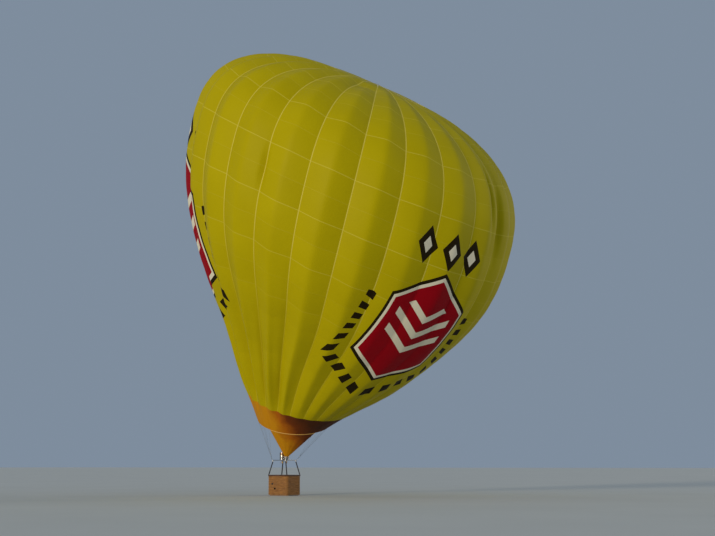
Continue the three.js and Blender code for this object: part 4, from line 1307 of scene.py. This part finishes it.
inner_reach = np.array([BASKET.length / 2 - BASKET.wall, BASKET.width / 2 - BASKET.wall])
for number, corner in enumerate(BASKET_SIDES, 1):
    side_x, side_y = corner
    foot = np.append(corner * (inner_reach - wide - CYLINDER.stand_off), WALL_LOW)
    across = np.array([side_y, -side_x, 0]) / math.sqrt(2)
    outlet_at = foot + np.array([0, 0, collar_foot + OUTLET_RISE])
    pieces = [
        turned("tank", cylinder_profile, foot, (0, 0, 1), steel, sides=40),
        turned("valve_wheel", wheel_profile, foot, (0, 0, 1), knob_red, sides=24),
        turned("valve_outlet", OUTLET, outlet_at, across, brass, sides=16),
        turned("bleed_outlet", BLEED, outlet_at, -across, brass, sides=16),
    ]
    tank = joined(f"propane_cylinder_{number}", pieces)
    tank.data.set_sharp_from_angle(angle=SHARP)
    moved(tank)
    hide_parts(f"fuel_cylinder_{number}")
    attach(tank, "envelope_and_basket")

    # each strap runs from one wall round the cylinder's inner side to the other, with a buckle in its middle
    toward = math.atan2(side_y, side_x)
    turns = toward + math.pi + np.linspace(-BELT_HALF_TURN, BELT_HALF_TURN, BELT.steps)
    arc = [(math.cos(t) * (wide + BELT.off_tank), math.sin(t) * (wide + BELT.off_tank)) for t in turns]
    wall_x, wall_y = corner * (inner_reach - BELT.off_wall) - foot[:2]
    first_to_x = abs(arc[0][0] - wall_x) < abs(arc[-1][0] - wall_x)
    to_x, to_y = (arc[0], arc[-1]) if first_to_x else (arc[-1], arc[0])
    tail_x = (wall_x, to_x[1] * BELT.tail)
    tail_y = (to_y[0] * BELT.tail, wall_y)
    line = [tail_x, *arc, tail_y] if first_to_x else [tail_y, *arc, tail_x]
    line = np.array(line) + foot[:2]
    buckle_at = np.array([-math.cos(toward), -math.sin(toward)]) * (wide + BUCKLE.off_tank)
    tangent = np.array([math.sin(toward), -math.cos(toward)])
    edge = rounded_outline(BUCKLE.length, BUCKLE.width, BUCKLE.corner, BUCKLE.corner)
    belts = []
    for level in BELT_LEVELS:
        heights = (WALL_LOW + level - BELT.half_width, WALL_LOW + level + BELT.half_width)
        rows = [np.column_stack([line, np.full(len(line), height)]) for height in heights]
        belt = smooth_piece("belt", rows, sheet_faces(2, len(line)), strap_black)
        loop = [(*(foot[:2] + buckle_at + tangent * u), WALL_LOW + level + v) for u, v in edge]
        buckle = tube("buckle", [loop], BUCKLE.bar, steel, sides=8, closed=True)
        belts += [thicken(belt, BELT.thickness, -1), buckle]
    straps = joined(f"cylinder_straps_{number}", belts)
    moved(straps)
    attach(straps, "envelope_and_basket")


# Burner frame: a stainless tube bent into a rectangle, with a socket for each upright's rod, a lug for each
# karabiner and a bored boss on each short side for the gimbal's pins. All of them are welded on.
FRAME_HEIGHT = 1.95
FRAME = Sizes(length=1.04, width=0.86, corner=0.08, tube=0.019)
SOCKET = Sizes(radius=0.028, wall=0.0035, height=0.07, depth=0.03)
LUG = Sizes(reach=0.048, radius=0.024, hole=0.014, thickness=0.008, bevel=0.0012, end_steps=17, hole_steps=28)
PIVOT = Sizes(boss=0.022, bore=0.0092, pin=0.0082, boss_length=0.034, pin_end=0.012)
TUBE_GRAIN = 0.012

corner_reach = FRAME.corner * (1 - math.sqrt(0.5))
FRAME_CORNER = np.array([FRAME.length / 2 - corner_reach, FRAME.width / 2 - corner_reach])


def ring_tube(name, size):
    line = rounded_outline(size.length, size.width, size.corner, TUBE_GRAIN)
    return tube(name, [[(x, y, FRAME_HEIGHT) for x, y in line]], size.tube, steel, sides=24, closed=True)


def boss(middle, axis):
    """A bored boss from a ring's tube inwards; the middle is the tube's inner side."""
    length = PIVOT.boss_length
    profile = [
        (PIVOT.bore, -0.004),
        (PIVOT.bore, length - 0.0015),
        (PIVOT.bore + 0.0015, length),
        (PIVOT.boss - 0.002, length),
        (PIVOT.boss, length - 0.002),
        (PIVOT.boss, -0.012),
        (PIVOT.bore + 0.004, -0.012),
    ]
    return turned("boss", profile, middle, axis, steel)


socket_profile = [
    (0, SOCKET.depth),
    (SOCKET.radius - SOCKET.wall, SOCKET.depth),
    (SOCKET.radius - SOCKET.wall, 0.0),
    (SOCKET.radius - 0.001, 0.0),
    (SOCKET.radius, 0.001),
    (SOCKET.radius, SOCKET.height - 0.004),
    (0, SOCKET.height),
]
pieces = [ring_tube("frame_tube", FRAME)]
for corner in BASKET_SIDES:
    corner_at = np.append(corner * FRAME_CORNER, FRAME_HEIGHT)
    socket_at = np.append(corner * FRAME_CORNER, FRAME_HEIGHT - SOCKET.height)
    pieces.append(turned("socket", socket_profile, socket_at, (0, 0, 1), steel))
    plate = [(0, LUG.radius), (0, -LUG.radius)]
    for turn in np.linspace(-math.pi / 2, math.pi / 2, LUG.end_steps):
        plate.append((LUG.reach + LUG.radius * math.cos(turn), LUG.radius * math.sin(turn)))
    eye_hole = circle(LUG.hole, (LUG.reach, 0), LUG.hole_steps)
    lug = extruded("lug", plate, -LUG.thickness / 2, LUG.thickness / 2, steel, LUG.bevel, [eye_hole])
    out = np.array([*corner, 0]) / math.sqrt(2)
    basis = np.array([out, [0, 0, 1], np.cross(out, [0, 0, 1])])
    pieces.append(moved(lug, basis.T, corner_at))
for side in (-1, 1):
    pieces.append(boss((side * (FRAME.length / 2 - FRAME.tube), 0, FRAME_HEIGHT), (-side, 0, 0)))
burner_frame = joined("tubular_burner_frame", pieces)
face_outwards(burner_frame)
moved(burner_frame)
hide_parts("burner_frame")
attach(burner_frame, "envelope_and_basket")


# Gimbal ring: a lighter stainless tube, bent and welded as the frame is. It tips on two pins in the
# frame, and carries the burner's pins in bosses on its long sides.
RING = Sizes(length=0.8, width=0.66, corner=0.06, tube=0.014)

pin = PIVOT.pin
pieces = [ring_tube("gimbal_tube", RING)]
for side in (-1, 1):
    start = RING.length / 2
    length = FRAME.length / 2 - FRAME.tube - PIVOT.pin_end - start
    collar = [(pin, 0.008), (0.016, 0.008), (0.016, 0.011), (pin, 0.011)]
    profile = [(0, -0.006), (pin, -0.006), *collar, (pin, length - 0.001), (pin - 0.001, length), (0, length)]
    pieces.append(turned("pin", profile, (side * start, 0, FRAME_HEIGHT), (side, 0, 0), steel, sides=28))
    pieces.append(boss((0, side * (RING.width / 2 - RING.tube), FRAME_HEIGHT), (0, -side, 0)))
gimbal = joined("gimbal_ring_tube", pieces)
face_outwards(gimbal)
moved(gimbal)
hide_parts("gimbal_ring")
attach(gimbal, "gimbal")


# Burner block: one machined aluminium block carries both burners. Under each hangs its blast valve with a
# lever over the basket and a fuel inlet behind, and between them sits the pressure gauge, its dial blank.
BLOCK = Sizes(length=0.42, width=0.12, height=0.09, rise=-0.02, corner=0.012, bevel=0.003, grain=0.004)
VALVE = Sizes(radius=0.026, length=0.11, lever=0.17, lever_radius=0.007, inlet=0.016, inlet_length=0.06)
CAN = Sizes(radius=0.145, height=0.4, wall=0.004, spacing=0.33, foot=0.02, foot_start=0.25, foot_steps=5)
GAUGE = Sizes(drop=0.012, sunk=0.004, dial=0.0106)
GAUGE_RIM = [(0.028, 0.002), (0.028, 0.014), (0.025, 0.016)]
GAUGE_CASE = [(0, 0), (0.027, 0), *GAUGE_RIM, (0.0235, 0.0145), (0, 0.0145)]
GAUGE_DIAL = [(0, 0), (0.0225, 0), (0.0225, 0.0008), (0, 0.0008)]

# Enamelled dial: plain white behind its glass
dial_white = new_material("white_enamelled_dial", {"Base Color": linear("#dcdcd6"), "Roughness": 0.35})[0]

block_low = FRAME_HEIGHT + BLOCK.rise - BLOCK.height / 2
block_high = block_low + BLOCK.height
start = BLOCK.width / 4
length = RING.width / 2 - RING.tube - PIVOT.pin_end - start
pin_profile = [(0, 0), (pin, 0), (pin, length - 0.001), (pin - 0.001, length), (0, length)]
wide, tall = VALVE.radius, VALVE.length
body_profile = [
    (0, -tall),
    (wide - 0.004, -tall),
    (wide, -tall + 0.004),
    (wide, -0.055),
    (wide - 0.004, -0.052),
    (wide - 0.004, -0.044),
    (wide, -0.041),
    (wide, 0.002),
    (0, 0.002),
]
wide, reach = VALVE.lever_radius, VALVE.lever
lever_profile = [
    (0, 0),
    (wide * 0.7, 0),
    (wide * 0.7, 0.06),
    (wide - 0.001, 0.062),
    (wide, 0.066),
    (wide, reach - 0.004),
    (wide - 0.002, reach - 0.001),
    (0, reach),
]
wide, reach = VALVE.inlet, VALVE.inlet_length
inlet_profile = [
    (0, 0),
    (wide - 0.004, 0),
    (wide - 0.004, 0.034),
    (wide, 0.036),
    (wide, 0.05),
    (wide - 0.003, 0.052),
    (wide - 0.003, reach),
    (wide - 0.007, reach),
    (wide - 0.007, reach - 0.012),
    (0, reach - 0.012),
]
outline = rounded_outline(BLOCK.length, BLOCK.width, BLOCK.corner, BLOCK.grain)
pieces = [extruded("block", outline, block_low, block_high, alloy, BLOCK.bevel)]
for side in (-1, 1):
    pieces.append(turned("pin", pin_profile, (0, side * start, FRAME_HEIGHT), (0, side, 0), steel, sides=28))
    at = np.array([side * CAN.spacing / 2, 0, block_low])
    hinge = at + [0, 0, VALVE.radius - VALVE.length]
    pieces.append(turned("valve_body", body_profile, at, (0, 0, 1), brass))
    pieces.append(turned("lever", lever_profile, hinge, (0, -1, 0), knob_red, sides=20))
    pieces.append(turned("inlet", inlet_profile, hinge, (0, 1, 0), brass, sides=24))
gauge_height = FRAME_HEIGHT + BLOCK.rise - GAUGE.drop
case_at = (0, -BLOCK.width / 2 + GAUGE.sunk, gauge_height)
dial_at = (0, -BLOCK.width / 2 - GAUGE.dial, gauge_height)
pieces.append(turned("gauge_case", GAUGE_CASE, case_at, (0, -1, 0), brass))
pieces.append(turned("gauge_dial", GAUGE_DIAL, dial_at, (0, -1, 0), dial_white))
block = joined("burner_block_and_valves", pieces)
face_outwards(block)
moved(block)
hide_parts("burner_block")
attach(block, "burner")


# Burner cans: thin stainless drums with rolled edges, heat-tinted near the flame. In each, a coil of tube
# above the jets turns the fuel to vapour.
COIL = Sizes(radius=0.116, tube=0.009, pitch=0.022, turns=6, steps=36, lift=0.0021)
BEAD = Sizes(depth=0.0022, half=0.006, levels=(0.06, 0.3))
JETS = [(0, 0.002), (0.05, 0.002), (0.05, 0.014), (0.044, 0.018), (0.02, 0.018), (0.016, 0.03), (0, 0.03)]

# Heat-tinted stainless steel: grey at the foot, then straw, then a bluish bloom in clouds towards the flame
tinted, tree, shader = new_material("heat_tinted_stainless_steel", {"Metallic": 1.0, "Roughness": 0.3})
place = add_node(tree, "ShaderNodeTexCoord").outputs["Object"]
cloudy = add_node(tree, "ShaderNodeTexNoise", {"Vector": place, "Scale": 9.0, "Detail": 4.0})
height = add_node(tree, "ShaderNodeSeparateXYZ", {0: place})
can_low = GROUND + block_high + GAP
sockets = {"Value": height.outputs[2], "From Min": can_low, "From Max": can_low + CAN.height}
share = add_node(tree, "ShaderNodeMapRange", sockets)
sockets = {0: share.outputs[0], 1: cloudy.outputs["Fac"]}
share = add_node(tree, "ShaderNodeMath", sockets, operation="MULTIPLY")
stops = {0.12: "#b5b3ae", 0.38: "#a8875a", 0.62: "#7d7689"}
tone = add_node(tree, "ShaderNodeValToRGB", {"Fac": share.outputs[0]}, stops)
tree.links.new(tone.outputs["Color"], shader.inputs["Base Color"])

thick, foot, wide, tall = CAN.wall, CAN.foot, CAN.radius, CAN.height
can_profile = [(0, 0), (wide - foot, 0)]
for turn in np.linspace(CAN.foot_start, math.pi / 2, CAN.foot_steps):
    can_profile.append((wide - foot + foot * math.sin(turn), foot - foot * math.cos(turn)))
for level in BEAD.levels:
    can_profile += [(wide, level - BEAD.half), (wide - BEAD.depth, level), (wide, level + BEAD.half)]
can_profile += [
    (wide, tall - 0.006),
    (wide - 0.001, tall - 0.001),
    (wide - 0.003, tall),
    (wide - thick - 0.001, tall - 0.002),
    (wide - thick, tall - 0.006),
    (wide - thick, foot + thick),
    (wide - foot, thick),
    (0, thick),
]
for number, side in enumerate((-1, 1), 1):
    foot_at = np.array([side * CAN.spacing / 2, 0, block_high + GAP])
    can = turned(f"burner_drum_{number}", can_profile, foot_at, (0, 0, 1), tinted, sides=56)
    moved(can)
    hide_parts(f"burner_can_{number}")
    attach(can, "burner")

    turn = np.arange(COIL.turns * COIL.steps - COIL.steps // 2) * 2 * math.pi / COIL.steps
    rise = COIL.tube + COIL.lift + turn / (2 * math.pi) * COIL.pitch
    line = np.column_stack([COIL.radius * np.cos(turn), COIL.radius * np.sin(turn), rise])
    inside = foot_at + [0, 0, thick + GAP]
    coil = tube("coil", [line + inside], COIL.tube, tinted)
    jet = turned("jet_ring", JETS, inside, (0, 0, 1), brass)
    coil = joined(f"vaporising_coil_{number}", [coil, jet])
    face_outwards(coil)
    moved(coil)
    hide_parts(f"burner_coil_{number}")
    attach(coil, "burner")


# Uprights: nylon rods in padded covers that close with a seam along the inside. They stand in the rim's
# corners and in the frame's sockets.
UPRIGHT = Sizes(radius=0.032, sides=24, rings=61, end=0.012, end_share=0.84, swells=9, swell=0.045)

# Padded cover: black coated fabric over foam, soft and dull, with shallow folds
cover = new_material(
    "padded_black_cover",
    {"Base Color": linear("#26262a"), "Roughness": 0.75, "Sheen Weight": 0.25},
    relief=({"Scale": 26.0, "Detail": 4.0}, 0.5, 0.006),
)[0]

inset = BASKET.corner * (1 - math.sqrt(0.5)) + MID_WALL * math.sqrt(0.5)
rim_corner = np.array([BASKET.length / 2 - inset, BASKET.width / 2 - inset])
share = np.linspace(0, 1, UPRIGHT.rings)[:, None]
ends = np.minimum(1, np.minimum(share, 1 - share) / UPRIGHT.end)
swell = 1 - UPRIGHT.swell + UPRIGHT.swell * np.abs(np.sin(share * math.pi * UPRIGHT.swells)) ** 0.5
radius = UPRIGHT.radius * (UPRIGHT.end_share + (1 - UPRIGHT.end_share) * ends) * swell
angle = np.arange(UPRIGHT.sides) * 2 * math.pi / UPRIGHT.sides
spokes = np.stack([np.cos(angle), np.sin(angle), 0 * angle], -1)
count = UPRIGHT.sides
last = (UPRIGHT.rings - 1) * count
faces = sheet_faces(UPRIGHT.rings, count, True)
faces += [((j + 1) % count, j, last + count) for j in range(count)]
faces += [(last + j, last + (j + 1) % count, last + count + 1) for j in range(count)]
for number, corner in enumerate(BASKET_SIDES, 1):
    low = np.append(corner * rim_corner, RIM_TOP + GAP)
    high = np.append(corner * FRAME_CORNER, FRAME_HEIGHT - SOCKET.height - GAP)
    middle = low + (high - low) * share
    rings = middle[:, None, :] + radius[:, :, None] * spokes[None]
    points = np.vstack([rings.reshape(-1, 3), low, high])
    pad = smooth_piece(f"padded_cover_{number}", points, faces, cover)
    face_outwards(pad)
    moved(pad)
    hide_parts(f"upright_{number}")
    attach(pad, "envelope_and_basket")


# Karabiners and flying wires: a steel rope from each of six tapes at the mouth comes down to one ferrule and
# eye at each corner, which a locking karabiner holds to the frame's lug.
KARABINER = Sizes(radius=0.026, straight=0.016, bar=0.006, lug_seat=0.0015, thimble_seat=0.0009)
THIMBLE = Sizes(radius=0.014, bar=0.004, ferrule=0.04, ferrule_radius=0.012)
WIRE_RADIUS = 0.003
WIRE_HEM = Sizes(depth=0.0065, gap=0.0016)
LINK_STEPS = 48

# Stainless wire rope: grey, with the lay of its strands
sockets = {"Base Color": linear("#9a9b9b"), "Metallic": 1.0, "Roughness": 0.42}
wire_rope, tree, shader = new_material("stainless_wire_rope", sockets)
place = add_node(tree, "ShaderNodeTexCoord").outputs["Object"]
lay = add_node(tree, "ShaderNodeTexWave", {"Vector": place, "Scale": 120.0, "Distortion": 0.5})
sockets = {"Height": lay.outputs["Fac"], "Strength": 0.5, "Distance": 0.001}
raised = add_node(tree, "ShaderNodeBump", sockets)
tree.links.new(raised.outputs[0], shader.inputs["Normal"])


def hem_point(tape):
    """Where a wire meets the hem, at a tape's number."""
    return envelope_point(tape, 0.0) - envelope_normal(tape, 0.0) * WIRE_HEM.depth


def link(name, middle, right, up, radius, bar, material, sides, straight=0.0):
    """A closed ring of bar about a middle, drawn out by a straight piece on each side."""
    angle = (np.arange(LINK_STEPS) + 0.5) * 2 * math.pi / LINK_STEPS
    x = radius * np.cos(angle)
    y = radius * np.sin(angle) + np.sign(np.sin(angle)) * straight
    line = middle + x[:, None] * right + y[:, None] * up
    return tube(name, [line], bar, material, sides, closed=True)


sleeve_profile = [
    (KARABINER.bar + 0.0004, -0.014),
    (KARABINER.bar + 0.0022, -0.014),
    (KARABINER.bar + 0.003, -0.012),
    (KARABINER.bar + 0.003, 0.012),
    (KARABINER.bar + 0.0022, 0.014),
    (KARABINER.bar + 0.0004, 0.014),
]
wide, tall = THIMBLE.ferrule_radius, THIMBLE.ferrule
ferrule_profile = [
    (0, 0),
    (wide - 0.003, 0),
    (wide, 0.003),
    (wide, tall - 0.003),
    (wide - 0.003, tall),
    (0, tall),
]
gathers = []
for number, corner in enumerate(BASKET_SIDES, 1):
    out = unit(BASKET_TURN @ np.array([*corner, 0.0]))
    eye_at = in_place([*(corner * FRAME_CORNER), FRAME_HEIGHT]) + out * LUG.reach
    middle_tape = math.floor(math.atan2(out[1], out[0]) / GORE_ANGLE)
    ends = [hem_point(middle_tape + k) for k in range(-2, 4)]
    pull = unit(np.mean(ends, axis=0) - eye_at)
    across = unit(np.cross(out, [0, 0, 1]))
    swing = unit(pull - across * (pull @ across))
    face = np.cross(across, swing)
    reach = KARABINER.radius + KARABINER.straight
    link_at = eye_at + swing * (LUG.hole - KARABINER.bar - KARABINER.lug_seat + reach)
    bar = (KARABINER.radius, KARABINER.bar, alloy, 16, KARABINER.straight)
    karabiner = link("link", link_at, across, swing, *bar)
    sleeve = turned("sleeve", sleeve_profile, link_at + across * KARABINER.radius, swing, alloy, sides=20)
    karabiner = joined(f"locking_karabiner_{number}", [karabiner, sleeve])
    face_outwards(karabiner)
    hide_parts(f"karabiner_{number}")
    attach(karabiner, "envelope_and_basket")

    seat = reach - KARABINER.bar - THIMBLE.bar - KARABINER.thimble_seat + THIMBLE.radius
    thimble_at = link_at + swing * seat
    thimble = link("thimble", thimble_at, -face, swing, THIMBLE.radius, THIMBLE.bar, steel, 12)
    ferrule_at = thimble_at + pull * THIMBLE.radius
    ferrule = turned("ferrule", ferrule_profile, ferrule_at, pull, alloy, sides=24)
    gather = ferrule_at + pull * tall / 2
    wires = [[gather, end - unit(end - gather) * WIRE_HEM.gap] for end in ends]
    wires = tube("wires", wires, WIRE_RADIUS, wire_rope, sides=8)
    rigging = joined(f"wire_ropes_{number}", [thimble, ferrule, wires])
    face_outwards(rigging)
    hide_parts(f"flying_wires_{number}")
    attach(rigging, "envelope_and_basket")
    gathers.append((gather, middle_tape))


# Scoop: a panel of the same orange cloth, clipped outside the six wires of the corner that faces the
# viewer. The breeze bellies it a little between them.
SCOOP = Sizes(gores=5, first=-2, low=0.08, high=0.9985, clear=0.0005, belly=0.012)
SCOOP_GRID = Sizes(per_gore=8, rows=40, near=0.04)
HEAD_TAPE = 0.06

gather, middle_tape = gathers[0]
columns = SCOOP.gores * SCOOP_GRID.per_gore + 1
scoop_tapes = np.arange(columns) / SCOOP_GRID.per_gore + middle_tape + SCOOP.first


def scoop_cloth(name, shares, lift, thickness, material):
    """Cloth outside the wires, from one share of the way up to another, bellied between them."""
    grid = np.zeros((len(shares), len(scoop_tapes), 3))
    for column, tape in enumerate(scoop_tapes):
        sideways = hem_point(tape + SCOOP_GRID.near) - hem_point(tape - SCOOP_GRID.near)
        along = hem_point(tape) - gather
        normal = unit(np.cross(sideways, along))
        place = (tape - math.floor(tape)) * 2 - 1
        belly = SCOOP.belly * (1 - place * place) * np.sin(shares * math.pi)
        away = WIRE_RADIUS + SCOOP.clear + belly + lift
        grid[:, column] = gather + shares[:, None] * along + away[:, None] * normal
    piece = smooth_piece(name, grid, sheet_faces(len(shares), len(scoop_tapes)), material)
    return thicken(piece, thickness, 1), grid


shares = np.linspace(SCOOP.low, SCOOP.high, SCOOP_GRID.rows)
scoop, grid = scoop_cloth("wind_scoop", shares, 0.0, CLOTH_SHOWN, aramid)
height = float(np.linalg.norm(grid[-1, 0] - grid[0, 0]))

# Head tape: amber webbing that the sun has bleached, sewn along the scoop's upper edge
head_webbing = new_material(
    "bleached_amber_webbing",
    {"Roughness": 0.65},
    ({"Scale": 40.0, "Detail": 2.0}, {0.0: "#d9a044", 1.0: "#ecbd68"}),
)[0]
shares = np.linspace(SCOOP.high - HEAD_TAPE / height, SCOOP.high, 3)
head = scoop_cloth("scoop_head_tape", shares, CLOTH_SHOWN, SEAM_THICKNESS, head_webbing)[0]
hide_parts("scoop")
for piece in (scoop, head):
    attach(piece, "envelope_and_basket")
